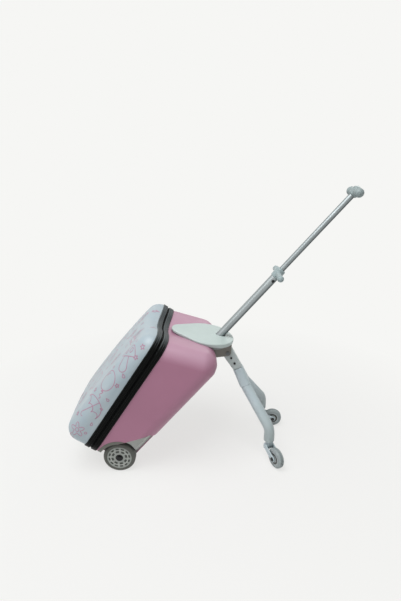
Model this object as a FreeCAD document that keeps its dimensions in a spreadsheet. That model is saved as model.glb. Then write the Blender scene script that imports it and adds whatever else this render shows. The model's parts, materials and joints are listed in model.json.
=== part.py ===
import FreeCAD, Part
import math
import os

import Sketcher

# A child's ride-on suitcase in riding mode: the case leans forward over two rear wheels and a fold-out leg.
# Front is +X, left is +Y, up is +Z, and the ground is Z = 0. Lengths are millimetres, angles are degrees.

# Driving dimensions
SIZES = (
    ("case_width", 330, "case, outer width"),
    ("case_height", 421, "case, outer height along the belt"),
    ("case_lean_angle", 33, "case, lean forward from upright"),
    ("foot_x", -354, "case, X of the belt's lower end"),
    ("corner_radius", 45, "case, corners of the mouth"),
    ("saddle_dip", 17, "case top, dip of the saddle at the belt"),
    ("saddle_dip_nose", 3, "case top, dip of the saddle past the nose"),
    ("shoulder_flat", 6, "case top, flat between each corner and the saddle"),
    ("shell_wall", 3, "shells, wall"),
    ("panel_depth", 128.5, "case, belt middle to back panel at the foot"),
    ("panel_tilt_angle", 7.6, "back panel, tilt from the belt"),
    ("panel_round", 45, "back panel, rounding of its edges"),
    ("top_rise_angle", 19.5, "case top, rise towards the nose from the belt's normal"),
    ("loft_depth", 250, "case, depth at which the nose dip is given"),
    ("belt_width", 38, "belt, both trims and the zipper"),
    ("zip_width", 5.4, "zipper, width between the trims"),
    ("zip_sink", 2, "zipper, depth below the shells' faces"),
    ("zip_thickness", 2.4, "zipper, thickness"),
    ("parting_gap", 0.4, "gap between lid and case pieces"),
    ("trim_proud", 2.5, "trims, height above the shells"),
    ("trim_inset", 5, "trims, depth inside the shells' faces"),
    ("trim_round", 2, "trims, rounding of the outer edges"),
    ("lid_depth", 78, "lid, depth in front of the belt"),
    ("lid_round", 42, "lid, rounding of the front edges"),
    ("lid_crown", 2500, "lid, crown radius of the front"),
    ("lid_crown_height", -60, "lid, height of the crown's middle along the belt"),
    ("tape_width", 24, "hinge tape, width"),
    ("tape_thickness", 0.8, "hinge tape, thickness"),
    ("seat_front_radius", 80, "seat, radius of the front end"),
    ("seat_rear_radius", 38, "seat, radius of the rear end"),
    ("seat_length", 76, "seat, distance between the two ends' centres"),
    ("seat_thickness", 10, "seat, thickness at the rim"),
    ("seat_crown", 5, "seat, crown above the rim"),
    ("seat_edge_round", 3, "seat, rounding of the rim"),
    ("seat_setback", 29.3, "seat, front centre's distance behind the mast"),
    ("seat_rise_angle", 20.6, "seat, rise towards the nose from the belt's normal"),
    ("seat_base_height", 3.5, "seat, height of its underside over the case top at the belt"),
    ("seat_base_inset", 18, "seat base, inset from the seat's rim"),
    ("seat_base_sink", 14, "seat base, depth it reaches down to the saddle"),
    ("mast_inset", 28.5, "mast, axis inside the back panel's face"),
    ("guide_radius", 15, "guide tube, outer radius"),
    ("guide_wall", 1.7, "guide tube, wall"),
    ("guide_length", 300, "guide tube, length below the seat"),
    ("guide_gap", 0.3, "guide tube, gap in its holes"),
    ("socket_height", 22, "guide tube socket, height"),
    ("socket_wall", 4, "guide tube socket, wall"),
    ("collar_radius", 19, "mast collar, outer radius"),
    ("collar_lip", 1.5, "mast collar, height above the seat's face"),
    ("sleeve_round", 6, "grip sleeves, rounding"),
    ("run_gap", 0.05, "running fits, radial gap"),
    ("lower_radius", 12, "lower tube, outer radius"),
    ("lower_wall", 1.2, "lower tube, wall"),
    ("lower_top", 278.7, "lower tube, top above the seat"),
    ("lower_tail", 80, "lower tube, length below the seat"),
    ("upper_radius", 8.5, "upper tube, outer radius"),
    ("upper_wall", 1.2, "upper tube, wall"),
    ("upper_top", 582.7, "upper tube, top above the seat"),
    ("upper_bottom", 200, "upper tube, lower end above the seat"),
    ("bush_length", 30, "guide bushes, length"),
    ("bush_step", 4, "guide bushes, length of the stop flange"),
    ("grip_bottom", 256.7, "child grip, lower end above the seat"),
    ("grip_length", 34, "child grip, sleeve length"),
    ("grip_radius", 14.5, "child grip, sleeve radius"),
    ("grip_bar_radius", 8, "child grip, bar radius"),
    ("grip_bar_height", 17, "child grip, bar above the sleeve's lower end"),
    ("grip_bar_length", 172, "child grip, bar between its end knobs' centres"),
    ("grip_knob_radius", 9.5, "child grip, end knob radius"),
    ("grip_turn_angle", -7, "child grip, turn about the mast"),
    ("handle_bottom", 568.2, "pull handle, lower end above the seat"),
    ("handle_length", 28, "pull handle, boss length"),
    ("handle_radius", 13, "pull handle, boss radius"),
    ("handle_bar_radius", 10.5, "pull handle, bar radius"),
    ("handle_bar_height", 14, "pull handle, bar above the boss's lower end"),
    ("handle_bar_length", 66, "pull handle, bar between its lobes' centres"),
    ("handle_lobe_radius", 13, "pull handle, lobe radius"),
    ("handle_turn_angle", 0, "pull handle, turn about the mast"),
    ("button_radius", 7.5, "handle button, radius"),
    ("button_height", 10, "handle button, height"),
    ("button_proud", 3, "handle button, height above the boss"),
    ("button_travel", 2.5, "handle button, travel"),
    ("snap_radius", 3.2, "snap button, radius"),
    ("snap_height", 247.7, "snap button, height above the seat"),
    ("snap_proud", 1.6, "snap button, height above the tube"),
    ("snap_travel", 1.6, "snap button, travel"),
    ("wheel_radius", 48.5, "rear wheel, radius"),
    ("wheel_width", 28, "rear wheel, width"),
    ("wheel_depth", 91.2, "rear wheel, axle behind the belt"),
    ("wheel_height", 25.7, "rear wheel, axle above the case's foot"),
    ("wheel_inset", 27, "rear wheels, middle inside the case's side"),
    ("wheel_round", 7, "rear wheel, rounding of the tread"),
    ("wheel_hub_radius", 37, "rear wheel, hub radius"),
    ("axle_radius", 4, "rear axle, radius"),
    ("axle_head_radius", 8, "rear axle, head radius"),
    ("axle_head_height", 3, "rear axle, head height"),
    ("side_gap", 0.4, "wheels, gap at their sides"),
    ("well_gap", 4, "wheel well, gap round the wheel"),
    ("housing_wall", 5, "wheel housing, wall round the well"),
    ("housing_web", 4, "wheel housing, wall beside the wheel"),
    ("housing_lip", 8, "wheel housing, setback from the wheel's outer face"),
    ("housing_top", 150, "wheel housing, reach up the back panel"),
    ("housing_inset", 10, "wheel housing, depth of its faces below the shell's"),
    ("housing_flange", 3, "wheel housing, flange behind the shell's cut edge"),
    ("housing_skirt", 24, "wheel housing, lower edge of the arch above the axle"),
    ("pivot_drop", 35.8, "leg pivot, distance below the seat's underside"),
    ("pivot_out", 25.9, "leg pivot, distance out from the back panel"),
    ("pivot_radius", 4, "leg pivot bolt, radius"),
    ("pivot_head_radius", 6, "leg pivot bolt, head radius"),
    ("pivot_head_height", 3, "leg pivot bolt, head height"),
    ("bracket_ear", 5, "leg bracket, ear thickness"),
    ("bracket_edge", 9, "leg bracket, edge round the pivot"),
    ("bracket_web", 8, "leg bracket, web under the seat"),
    ("bracket_foot", 34, "leg bracket, reach down from the pivot"),
    ("bracket_plate", 6, "leg bracket, plate on the back panel"),
    ("arm_rake_angle", 59.2, "leg arm, slope below the horizon"),
    ("leg_rake_angle", 65.6, "leg yoke, slope below the horizon"),
    ("arm_width", 24, "leg arm, width"),
    ("arm_radius", 17.5, "leg arm, radius at the pivot"),
    ("arm_end_radius", 13.5, "leg arm, radius at the yoke"),
    ("arm_length", 80, "leg arm, pivot to end centre"),
    ("yoke_start", 65, "yoke, upper end from the pivot"),
    ("yoke_length", 54, "yoke, length"),
    ("yoke_top", 32, "yoke, width at the top"),
    ("yoke_bottom", 72, "yoke, width at the legs"),
    ("yoke_thickness", 32, "yoke, thickness"),
    ("yoke_round", 9, "yoke, rounding"),
    ("leg_radius", 15.8, "leg tubes, radius"),
    ("leg_gap", 6, "leg tubes, gap between them at the yoke"),
    ("leg_bend", 42, "leg tubes, bend radius"),
    ("socket_reach", 129.4, "caster sockets, distance ahead of the leg pivot"),
    ("socket_track", 186, "caster sockets, middle to middle"),
    ("socket_z", 70, "caster sockets, height of the lower end"),
    ("socket_length", 42, "caster sockets, length to the bend"),
    ("socket_radius", 16.2, "caster sockets, radius"),
    ("socket_sleeve", 24, "caster sockets, length of the thick end"),
    ("stem_radius", 5, "caster stem, radius"),
    ("stem_length", 22, "caster stem, length inside the socket"),
    ("caster_radius", 31, "caster wheel, radius"),
    ("caster_width", 20, "caster wheel, width"),
    ("caster_round", 7, "caster wheel, rounding of the tread"),
    ("caster_hub_radius", 21, "caster wheel, hub radius"),
    ("caster_trail", 41, "caster, axle behind the swivel"),
    ("caster_turn_right_angle", -63, "right caster, turn from straight ahead"),
    ("caster_turn_left_angle", -4, "left caster, turn from straight ahead"),
    ("fork_gap", 1, "caster fork, gap beside the wheel"),
    ("fork_arm", 4, "caster fork, arm thickness"),
    ("fork_root_radius", 7, "caster fork, arm radius at the crown"),
    ("fork_tip_radius", 9, "caster fork, arm radius at the axle"),
    ("fork_crown", 8, "caster fork, crown half length"),
    ("fork_crown_height", 15, "caster fork, crown height"),
    ("neck_radius", 8.5, "caster fork, neck radius"),
    ("neck_height", 12, "caster fork, neck height below the socket"),
    ("caster_axle_radius", 3, "caster axle, radius"),
    ("caster_head_radius", 5, "caster axle, head radius"),
    ("caster_head_height", 2.5, "caster axle, head height"),
    ("screw_radius", 3.4, "screws, head radius"),
    ("screw_height", 2, "screws, head height"),
    ("slider_length", 16, "zipper sliders, length"),
    ("slider_width", 9, "zipper sliders, width"),
    ("slider_height", 4, "zipper sliders, height"),
    ("slider_low", 120, "lower zipper slider, height on the far side"),
    ("slider_high", 168, "upper zipper slider, height on the far side"),
    ("pull_length", 26, "pull tabs, length between the ends' centres"),
    ("pull_radius", 4, "pull tabs, radius of the free end"),
    ("pull_root_radius", 2.6, "pull tabs, radius of the hinged end"),
    ("pull_thickness", 1.6, "pull tabs, thickness"),
)


class Size:
    """A number together with the sheet formula that it comes from."""

    def __init__(self, number, formula):
        self.number = number
        self.formula = formula

    def __float__(self):
        return float(self.number)

    def __add__(self, other):
        return Size(self.number + float(other), f"({self.formula} + {formula_of(other)})")

    def __sub__(self, other):
        return Size(self.number - float(other), f"({self.formula} - {formula_of(other)})")

    def __mul__(self, other):
        return Size(self.number * float(other), f"({self.formula} * {formula_of(other)})")

    def __truediv__(self, other):
        return Size(self.number / float(other), f"({self.formula} / {formula_of(other)})")

    def __neg__(self):
        return Size(-self.number, f"(-1 * {self.formula})")


def formula_of(value):
    return value.formula if isinstance(value, Size) else repr(float(value))


class Sizes:
    """All driving dimensions, by name."""


doc = FreeCAD.newDocument("RideOnSuitcase")
sheet = doc.addObject("Spreadsheet::Sheet", "sizes")
for row, (alias, value, meaning) in enumerate(SIZES, 1):
    sheet.set(f"A{row}", meaning)
    sheet.set(f"B{row}", str(value))
    sheet.setAlias(f"B{row}", alias)
doc.recompute()

size = Sizes()
for alias, value, meaning in SIZES:
    setattr(size, alias, Size(float(sheet.get(alias)), f"sizes.{alias}"))

nodes = {}
Y_AXIS = FreeCAD.Vector(0, 1, 0)
Z_AXIS = FreeCAD.Vector(0, 0, 1)
SIDES = (("right", -1), ("left", 1))


def vec(x=0, y=0, z=0):
    return FreeCAD.Vector(float(x), float(y), float(z))


def spot(frame, x=0, y=0, z=0, axis=None, angle=0):
    """A placement inside a frame, turned about one axis."""
    turn = FreeCAD.Rotation(axis, float(angle)) if axis else FreeCAD.Rotation()
    return frame.multiply(FreeCAD.Placement(vec(x, y, z), turn))


def sine(angle):
    return math.sin(math.radians(float(angle)))


def cosine(angle):
    return math.cos(math.radians(float(angle)))


def tangent(angle):
    return math.tan(math.radians(float(angle)))


# Document objects, with their sizes bound to the sheet
def bound(kind, name, placement, **sizes):
    thing = doc.addObject(kind, name)
    for prop, value in sizes.items():
        if isinstance(value, Size):
            thing.setExpression(prop, value.formula)
        else:
            setattr(thing, prop, value)
    thing.Placement = placement
    return thing


def cylinder(name, placement, radius, height):
    return bound("Part::Cylinder", name, placement, Radius=radius, Height=height)


def sphere(name, placement, radius):
    return bound("Part::Sphere", name, placement, Radius=radius)


def box(name, placement, length, width, height):
    """A box centred across its frame's Y, with its corner at the frame's X and Z."""
    corner = spot(placement, 0, -float(width) / 2, 0)
    return bound("Part::Box", name, corner, Length=length, Width=width, Height=height)


def fuse(name, *shapes):
    thing = doc.addObject("Part::MultiFuse", name)
    thing.Shapes = list(shapes)
    thing.Refine = True
    return thing


def cut(name, base, *tools):
    thing = doc.addObject("Part::Cut", name)
    thing.Base = base
    thing.Tool = tools[0] if len(tools) == 1 else fuse(name + "_tools", *tools)
    return thing


def common(name, first, second):
    thing = doc.addObject("Part::MultiCommon", name)
    thing.Shapes = [first, second]
    return thing


def group(name, *shapes):
    """Separate solids kept together as one piece."""
    thing = doc.addObject("Part::Compound", name)
    thing.Links = list(shapes)
    return thing


def rounded(name, base, radius, chosen):
    """Rounds the chosen edges of an object."""
    doc.recompute()
    thing = doc.addObject("Part::Fillet", name)
    thing.Base = base
    number = float(radius)
    thing.Edges = [(i, number, number) for i, edge in enumerate(base.Shape.Edges, 1) if chosen(edge)]
    return thing


def feature(name, shape, placement):
    thing = doc.addObject("Part::Feature", name)
    thing.Shape = shape
    thing.Placement = placement
    return thing


def node(name, thing):
    thing.Label = name
    nodes[name] = thing
    return thing


def is_ring(edge):
    return edge.isClosed() and isinstance(edge.Curve, Part.Circle)


def ring(name, placement, outer, inner, height):
    """A tube along the frame's Z."""
    wall = cylinder(name + "_outside", placement, outer, height)
    hole = cylinder(name + "_inside", placement, inner, height)
    return cut(name, wall, hole)


def slab(name, placement, big, small, reach, thickness):
    """A plate whose outline wraps two circles: a big one at the frame's origin, a small one along X."""
    body = doc.addObject("PartDesign::Body", name)
    outline = body.newObject("Sketcher::SketchObject", name + "_outline")
    plane = [f for f in body.Origin.OriginFeatures if f.Role == "XY_Plane"][0]
    outline.AttachmentSupport = [(plane, "")]
    outline.MapMode = "FlatFace"
    first, second, gap = float(big), float(small), float(reach)
    slope = math.asin((first - second) / gap)
    edge = math.pi / 2 - slope
    full = 2 * math.pi
    start_circle = Part.Circle(vec(), Z_AXIS, first)
    end_circle = Part.Circle(vec(gap), Z_AXIS, second)
    near = vec(math.sin(slope), math.cos(slope))
    far = vec(math.sin(slope), -math.cos(slope))
    start = outline.addGeometry(Part.ArcOfCircle(start_circle, edge, full - edge))
    end = outline.addGeometry(Part.ArcOfCircle(end_circle, -edge, edge))
    upper = outline.addGeometry(Part.LineSegment(near * first, vec(gap) + near * second))
    lower = outline.addGeometry(Part.LineSegment(vec(gap) + far * second, far * first))
    for one, one_end, two, two_end in (
        (start, 1, upper, 1),
        (upper, 2, end, 2),
        (end, 1, lower, 1),
        (lower, 2, start, 2),
    ):
        outline.addConstraint(Sketcher.Constraint("Tangent", one, one_end, two, two_end))
    outline.addConstraint(Sketcher.Constraint("Coincident", start, 3, -1, 1))
    outline.addConstraint(Sketcher.Constraint("PointOnObject", end, 3, -1))
    for constraint, value in (
        (Sketcher.Constraint("Radius", start, first), big),
        (Sketcher.Constraint("Radius", end, second), small),
        (Sketcher.Constraint("DistanceX", start, 3, end, 3, gap), reach),
    ):
        index = outline.addConstraint(constraint)
        outline.setExpression(f"Constraints[{index}]", formula_of(value))
    pad = body.newObject("PartDesign::Pad", name + "_pad")
    pad.Profile = outline
    pad.setExpression("Length", formula_of(thickness))
    body.Placement = placement
    return body


# Frames of the assembly
half_belt = size.belt_width / 2
half_width = size.case_width / 2
wheel_track = size.case_width - size.wheel_inset * 2
lean = FreeCAD.Rotation(Y_AXIS, float(size.case_lean_angle))
axle_drop = lean.multVec(vec(size.wheel_depth, 0, size.wheel_height)).z
WORLD = FreeCAD.Placement()
# Case: X runs from the belt's middle to the back panel, Z runs up the belt
CASE = FreeCAD.Placement(vec(size.foot_x, 0, float(size.wheel_radius) - axle_drop), lean)
# Back panel: X points out of the panel, Z runs up it
PANEL = spot(CASE, size.panel_depth, 0, 0, Y_AXIS, size.panel_tilt_angle)


def dip_at(depth):
    """Depth of the saddle between the shoulders."""
    share = (float(depth) - float(half_belt)) / (float(size.loft_depth) - float(half_belt))
    return float(size.saddle_dip) * (1 - share) + float(size.saddle_dip_nose) * share


def saddle_height(depth):
    """Height of the case top's middle line, along the belt."""
    rise = tangent(size.top_rise_angle) * (float(depth) - float(half_belt))
    return float(size.case_height - size.saddle_dip) + rise


# Seat plane: a point above the belt's edge, a line to the nose and a normal
base_rise = float(size.seat_base_height) / cosine(size.seat_rise_angle)
seat_edge = vec(half_belt, 0, saddle_height(half_belt) + base_rise)
seat_line = vec(cosine(size.seat_rise_angle), 0, sine(size.seat_rise_angle))
seat_normal = vec(-sine(size.seat_rise_angle), 0, cosine(size.seat_rise_angle))
panel_line = vec(sine(size.panel_tilt_angle), 0, cosine(size.panel_tilt_angle))
panel_normal = vec(cosine(size.panel_tilt_angle), 0, -sine(size.panel_tilt_angle))


def beside_panel(out, drop):
    """The point that far out from the back panel's face and that far below the seat's underside."""
    start = vec(size.panel_depth) + panel_normal * float(out)
    rise = (seat_edge - start).dot(seat_normal) - float(drop)
    return start + panel_line * (rise / panel_line.dot(seat_normal))


# Mast: Z runs up its axis, from the seat's underside
mast_base = beside_panel(-size.mast_inset, 0)
MAST = spot(CASE, mast_base.x, 0, mast_base.z, Y_AXIS, size.panel_tilt_angle)

# Seat: its underside is Z = 0, X points to the nose, the origin is the front end's centre
seat_middle = mast_base - seat_line * float(size.seat_setback)
SEAT = spot(CASE, seat_middle.x, 0, seat_middle.z, Y_AXIS, -size.seat_rise_angle)

# Leg: in ARM, X runs down the arm from the pivot, and in LEG, down the yoke from the arm's end
pivot_in_case = beside_panel(size.pivot_out, size.pivot_drop)
PIVOT = CASE.multVec(pivot_in_case)
ARM = FreeCAD.Placement(PIVOT, FreeCAD.Rotation(Y_AXIS, float(size.arm_rake_angle)))
LEG = FreeCAD.Placement(
    ARM.multVec(vec(size.yoke_start)), FreeCAD.Rotation(Y_AXIS, float(size.leg_rake_angle))
)
socket_x = PIVOT.x + float(size.socket_reach)


# Shells
def saddle_outline(depth, inset):
    """The case's outline across its depth: a rounded rectangle whose top dips in the middle."""
    half = float(half_width)
    radius = float(size.corner_radius)
    reach = half - radius - float(size.shoulder_flat)
    section_depth = max(float(depth), float(half_belt))
    dip = dip_at(section_depth)
    top = saddle_height(section_depth) + dip
    bend = (reach**2 + dip**2) / (4 * dip)
    swing = math.degrees(math.asin(reach / (2 * bend)))
    side = half - radius
    small = radius - float(inset)
    arcs = (
        (side, radius, small, -90, 0),
        (side, top - radius, small, 0, 90),
        (reach, top - bend, bend - float(inset), 90, 90 + swing),
        (0, top - dip + bend, bend + float(inset), 270 + swing, 270 - swing),
        (-reach, top - bend, bend - float(inset), 90 - swing, 90),
        (-side, top - radius, small, 90, 180),
        (-side, radius, small, 180, 270),
    )

    def on_arc(arc, angle):
        across, up, bow = arc[:3]
        return vec(depth, across + bow * cosine(angle), up + bow * sine(angle))

    edges = []
    last = on_arc(arcs[-1], arcs[-1][4])
    for arc in arcs:
        first, middle, end = (on_arc(arc, a) for a in (arc[3], (arc[3] + arc[4]) / 2, arc[4]))
        if (first - last).Length > 1e-6:
            edges.append(Part.LineSegment(last, first).toShape())
        edges.append(Part.Arc(first, middle, end).toShape())
        last = end
    return Part.Wire(edges)


def saddle_prism(start, end, inset):
    """The mouth's outline carried straight from one depth to another."""
    wire = saddle_outline(half_belt, inset)
    wire.translate(vec(float(start) - float(half_belt)))
    return Part.Face(wire).extrude(vec(float(end) - float(start)))


def rear_body(start, inset):
    """The rear shell's form, its rounded back panel included."""
    sections = [saddle_outline(depth, inset) for depth in (start, size.loft_depth)]
    form = Part.makeLoft(sections, True, True)
    reach = 4 * float(size.case_height)
    beyond = Part.makeBox(reach, reach, reach, vec(-float(inset), -reach / 2, -reach / 2))
    beyond.Placement = CASE.inverse().multiply(PANEL)
    panel_face = beyond.Placement
    form = form.cut(beyond)

    def on_panel(edge):
        middle = edge.valueAt((edge.FirstParameter + edge.LastParameter) / 2)
        ends = [vertex.Point for vertex in edge.Vertexes]
        inside = panel_face.inverse()
        return all(abs(inside.multVec(p).x + float(inset)) < 1e-3 for p in [middle, *ends])

    edges = [edge for edge in form.Edges if on_panel(edge)]
    return form.makeFillet(float(size.panel_round) - float(inset), edges)


def lid_body(start, inset):
    """The front shell's form, with its crowned and rounded front."""
    front = -float(half_belt) - float(size.lid_depth)
    radius = float(size.lid_crown) - float(inset)
    middle = vec(front + float(size.lid_crown), 0, size.lid_crown_height)
    ball = Part.makeSphere(radius, middle, Y_AXIS)
    form = saddle_prism(start, front - float(size.lid_depth), inset).common(ball)

    def on_crown(edge):
        points = [edge.valueAt((edge.FirstParameter + edge.LastParameter) / 2)]
        points += [vertex.Point for vertex in edge.Vertexes]
        return all(abs((point - middle).Length - radius) < 1e-3 for point in points)

    edges = [edge for edge in form.Edges if on_crown(edge)]
    return form.makeFillet(float(size.lid_round) - float(inset), edges)


def wheel_region(side, margin):
    """The case's lower rear corner on one side, where the wheel housing sits."""
    reach = float(size.wheel_radius + size.well_gap + size.housing_wall) + float(margin)
    inner = side * (float(web_inner) - float(margin))
    width = side * float(half_width)
    axle = vec(size.wheel_depth, inner, size.wheel_height)
    drum = Part.makeCylinder(reach, abs(width), axle, Y_AXIS * side)
    top = float(size.housing_top) + float(margin)
    back = 2 * float(size.panel_depth)
    corner = (
        (axle.x - reach * sine(size.case_lean_angle), axle.z + reach * cosine(size.case_lean_angle)),
        (float(size.panel_depth) - float(size.housing_web) - float(margin), top),
        (back, top),
        (back, -reach),
        (axle.x, -reach),
    )
    points = [vec(x, inner, z) for x, z in corner]
    wedge = Part.Face(Part.makePolygon(points + points[:1])).extrude(vec(0, width, 0))
    return drum.fuse(wedge).removeSplitter()


web_inner = wheel_track / 2 - size.wheel_width / 2 - size.side_gap - size.housing_web
rear_solid = rear_body(half_belt, 0)
rear_hollow = rear_body(half_belt, size.shell_wall)
wheel_corners = {name: wheel_region(sign, 0) for name, sign in SIDES}
guide_hole = Part.makeCylinder(
    float(size.guide_radius + size.guide_gap), float(size.guide_length), vec(), Z_AXIS
)
guide_hole.Placement = CASE.inverse().multiply(spot(MAST, 0, 0, -size.guide_length / 3))
shell_shape = rear_solid.cut(rear_hollow)
for corner in wheel_corners.values():
    shell_shape = shell_shape.cut(corner)
node("rear_shell", feature("rear_shell", shell_shape.cut(guide_hole), CASE))

lid_shape = lid_body(-half_belt, 0).cut(lid_body(-half_belt, size.shell_wall))
node("front_shell", feature("front_shell", lid_shape, CASE))


# Belt: a trim strip and half a zipper on each shell
def belt_ring(start, end, outer, inner, rounding):
    strip = saddle_prism(start, end, outer).cut(saddle_prism(start, end, inner))
    if float(rounding) == 0:
        return strip
    flats = [f for f in strip.Faces if abs(f.normalAt(0, 0).x) > 0.999]
    edges = [edge for face in flats for edge in face.OuterWire.Edges]
    return strip.makeFillet(float(rounding), edges)


half_zip = size.zip_width / 2
zip_floor = size.zip_sink + size.zip_thickness
for name, sign in (("front", -1), ("rear", 1)):
    trim = belt_ring(half_zip * sign, half_belt * sign, -size.trim_proud, size.trim_inset, size.trim_round)
    node(f"{name}_trim", feature(f"{name}_trim", trim, CASE))
    teeth = belt_ring(size.parting_gap * sign / 2, half_zip * sign, size.zip_sink, zip_floor, 0)
    node(f"{name}_zipper", feature(f"{name}_zipper", teeth, CASE))

tape_face = -half_width + size.trim_inset + size.parting_gap
tape_length = size.case_height - size.corner_radius * 2
tape_spot = spot(CASE, -size.tape_width / 2, tape_face + size.tape_thickness / 2, size.corner_radius)
node("hinge_tape", box("hinge_tape", tape_spot, size.tape_width, size.tape_thickness, tape_length))

# Seat and its base
seat_turn = spot(SEAT, 0, 0, 0, Z_AXIS, 180)
seat_blank = slab(
    "seat_blank",
    seat_turn,
    size.seat_front_radius,
    size.seat_rear_radius,
    size.seat_length,
    size.seat_thickness + size.seat_crown,
)
seat_span = size.seat_front_radius + size.seat_length / 2 + size.seat_rear_radius / 2
crown_radius = seat_span * seat_span / size.seat_crown / 2
crown_ball = sphere(
    "seat_crown_ball",
    spot(
        SEAT, -size.seat_length / 3, 0, size.seat_thickness + size.seat_crown - crown_radius,
        FreeCAD.Vector(1, 0, 0), 90,
    ),
    crown_radius,
)
seat_form = common("seat_form", seat_blank, crown_ball)


def on_seat_rim(edge):
    heights = [SEAT.inverse().multVec(v.Point).z for v in edge.Vertexes]
    return min(heights) > float(size.seat_edge_round)


seat_rounded = rounded("seat_rounded", seat_form, size.seat_edge_round, on_seat_rim)
collar_reach = (size.seat_thickness + size.seat_crown) * 3
collar_hole = cylinder(
    "seat_collar_hole",
    spot(MAST, 0, 0, -collar_reach),
    size.collar_radius + size.guide_gap,
    collar_reach * 2,
)
rear_solid_tool = feature("rear_solid_tool", rear_solid, CASE)
node("seat", cut("seat", seat_rounded, collar_hole, rear_solid_tool))

base_blank = slab(
    "seat_base_blank",
    spot(seat_turn, 0, 0, -size.seat_base_sink),
    size.seat_front_radius - size.seat_base_inset,
    size.seat_rear_radius - size.seat_base_inset,
    size.seat_length,
    size.seat_base_sink,
)
base_hole = cylinder(
    "seat_base_hole", spot(MAST, 0, 0, -size.guide_length / 3),
    size.guide_radius + size.guide_gap, size.guide_length,
)
node("seat_base", cut("seat_base", base_blank, rear_solid_tool, nodes["rear_trim"], base_hole))

seat_screw_list = []
for number, along in enumerate((-size.seat_length / 3, -size.seat_length * 2 / 3, -size.seat_length), 1):
    depth = (seat_middle + seat_line * float(along)).x
    ceiling = spot(
        CASE, depth, 0, saddle_height(depth) - float(size.shell_wall), Y_AXIS, -size.top_rise_angle
    )
    face = spot(ceiling, 0, 0, -size.screw_height)
    seat_screw_list.append(cylinder(f"seat_screw_{number}", face, size.screw_radius, size.screw_height))
node("seat_screws", group("seat_screws", *seat_screw_list))

# Mast: fixed guide tube, its socket and collar
guide_bore = size.guide_radius - size.guide_wall
node(
    "mast_guide_tube",
    ring(
        "mast_guide_tube", spot(MAST, 0, 0, -size.guide_length), size.guide_radius, guide_bore,
        size.guide_length,
    ),
)
lower_bore = size.lower_radius - size.lower_wall
collar_blank = cylinder("collar_blank", MAST, size.collar_radius, collar_reach)
collar_ball = sphere("collar_ball", crown_ball.Placement, crown_radius + size.collar_lip)
collar_form = common("collar_form", collar_blank, collar_ball)
collar_bore = cylinder("collar_bore", MAST, size.lower_radius + size.run_gap, collar_reach)
node("mast_collar", cut("mast_collar", collar_form, collar_bore, base_blank))

socket_low = -size.guide_length - size.socket_wall
socket_out = size.mast_inset - size.shell_wall
socket_blank = box(
    "socket_blank",
    spot(MAST, -size.guide_radius - size.socket_wall, 0, socket_low),
    size.guide_radius + size.socket_wall + socket_out,
    size.guide_radius * 2 + size.socket_wall * 2,
    size.socket_height,
)
socket_bore = cylinder(
    "socket_bore", spot(MAST, 0, 0, -size.guide_length), size.guide_radius, size.socket_height
)
node("mast_socket", cut("mast_socket", socket_blank, socket_bore))


# Mast: sliding tubes with their bushes and grips
def bush(name, low, plug_radius, fit, bore):
    """A bush in a tube's lower end: its flange runs in the next tube, its bore clears the tube inside."""
    foot = spot(MAST, 0, 0, low - size.bush_step)
    plug = cylinder(name + "_plug", foot, plug_radius, size.bush_step + size.bush_length)
    flange = cylinder(name + "_flange", foot, fit, size.bush_step)
    hole = cylinder(name + "_hole", foot, bore, size.bush_step + size.bush_length)
    return node(name, cut(name, fuse(name + "_form", plug, flange), hole))


lower_tube = ring(
    "lower_tube_blank", spot(MAST, 0, 0, -size.lower_tail), size.lower_radius, lower_bore,
    size.lower_top + size.lower_tail,
)
snap_seat = spot(MAST, 0, 0, size.snap_height, FreeCAD.Vector(1, 0, 0), 90)
snap_hole = cylinder("snap_hole", snap_seat, size.snap_radius + size.run_gap, size.lower_radius * 2)
node("lower_tube", cut("lower_tube", lower_tube, snap_hole))
snap_low = lower_bore - size.run_gap
snap_length = size.lower_radius + size.snap_proud - snap_low
snap_button = cylinder("snap_blank", spot(snap_seat, 0, 0, snap_low), size.snap_radius, snap_length)
node(
    "snap_button",
    rounded(
        "snap_button", snap_button, size.snap_proud / 2,
        lambda edge: is_ring(edge) and -edge.Curve.Center.y > float(size.lower_radius),
    ),
)
upper_bore = size.upper_radius - size.upper_wall
node(
    "upper_tube",
    ring(
        "upper_tube", spot(MAST, 0, 0, size.upper_bottom), size.upper_radius, upper_bore,
        size.upper_top - size.upper_bottom,
    ),
)


throat = lower_bore - size.lower_wall / 2
bush("lower_bush", -size.lower_tail, lower_bore, guide_bore - size.run_gap, throat)
bush("upper_bush", size.upper_bottom, upper_bore, throat - size.run_gap, upper_bore - size.upper_wall)


def grip(name, low, length, radius, bar_height, bar_length, bar_radius, knob_radius, turn):
    """A sleeve round the mast with a cross bar and a knob at each end."""
    sleeve = rounded(
        name + "_sleeve", cylinder(name + "_blank", spot(MAST, 0, 0, low), radius, length),
        size.sleeve_round, is_ring,
    )
    across = spot(MAST, 0, 0, low + bar_height, Z_AXIS, turn)
    along = spot(across, 0, -bar_length / 2, 0, FreeCAD.Vector(1, 0, 0), -90)
    bar = cylinder(name + "_bar", along, bar_radius, bar_length)
    knobs = [sphere(f"{name}_knob_{n}", spot(across, 0, bar_length / 2 * n, 0), knob_radius) for n in (-1, 1)]
    return fuse(name + "_form", sleeve, bar, *knobs)


grip_form = grip(
    "child_grip", size.grip_bottom, size.grip_length, size.grip_radius, size.grip_bar_height,
    size.grip_bar_length, size.grip_bar_radius, size.grip_knob_radius, size.grip_turn_angle,
)
grip_seat = cylinder(
    "child_grip_seat", spot(MAST, 0, 0, size.grip_bottom - size.bush_step), size.lower_radius,
    size.lower_top - size.grip_bottom + size.bush_step,
)
grip_bore = cylinder(
    "child_grip_bore", spot(MAST, 0, 0, size.grip_bottom), size.upper_radius + size.run_gap,
    size.grip_length * 2,
)
node("child_grip", cut("child_grip", grip_form, grip_seat, grip_bore))

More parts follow.
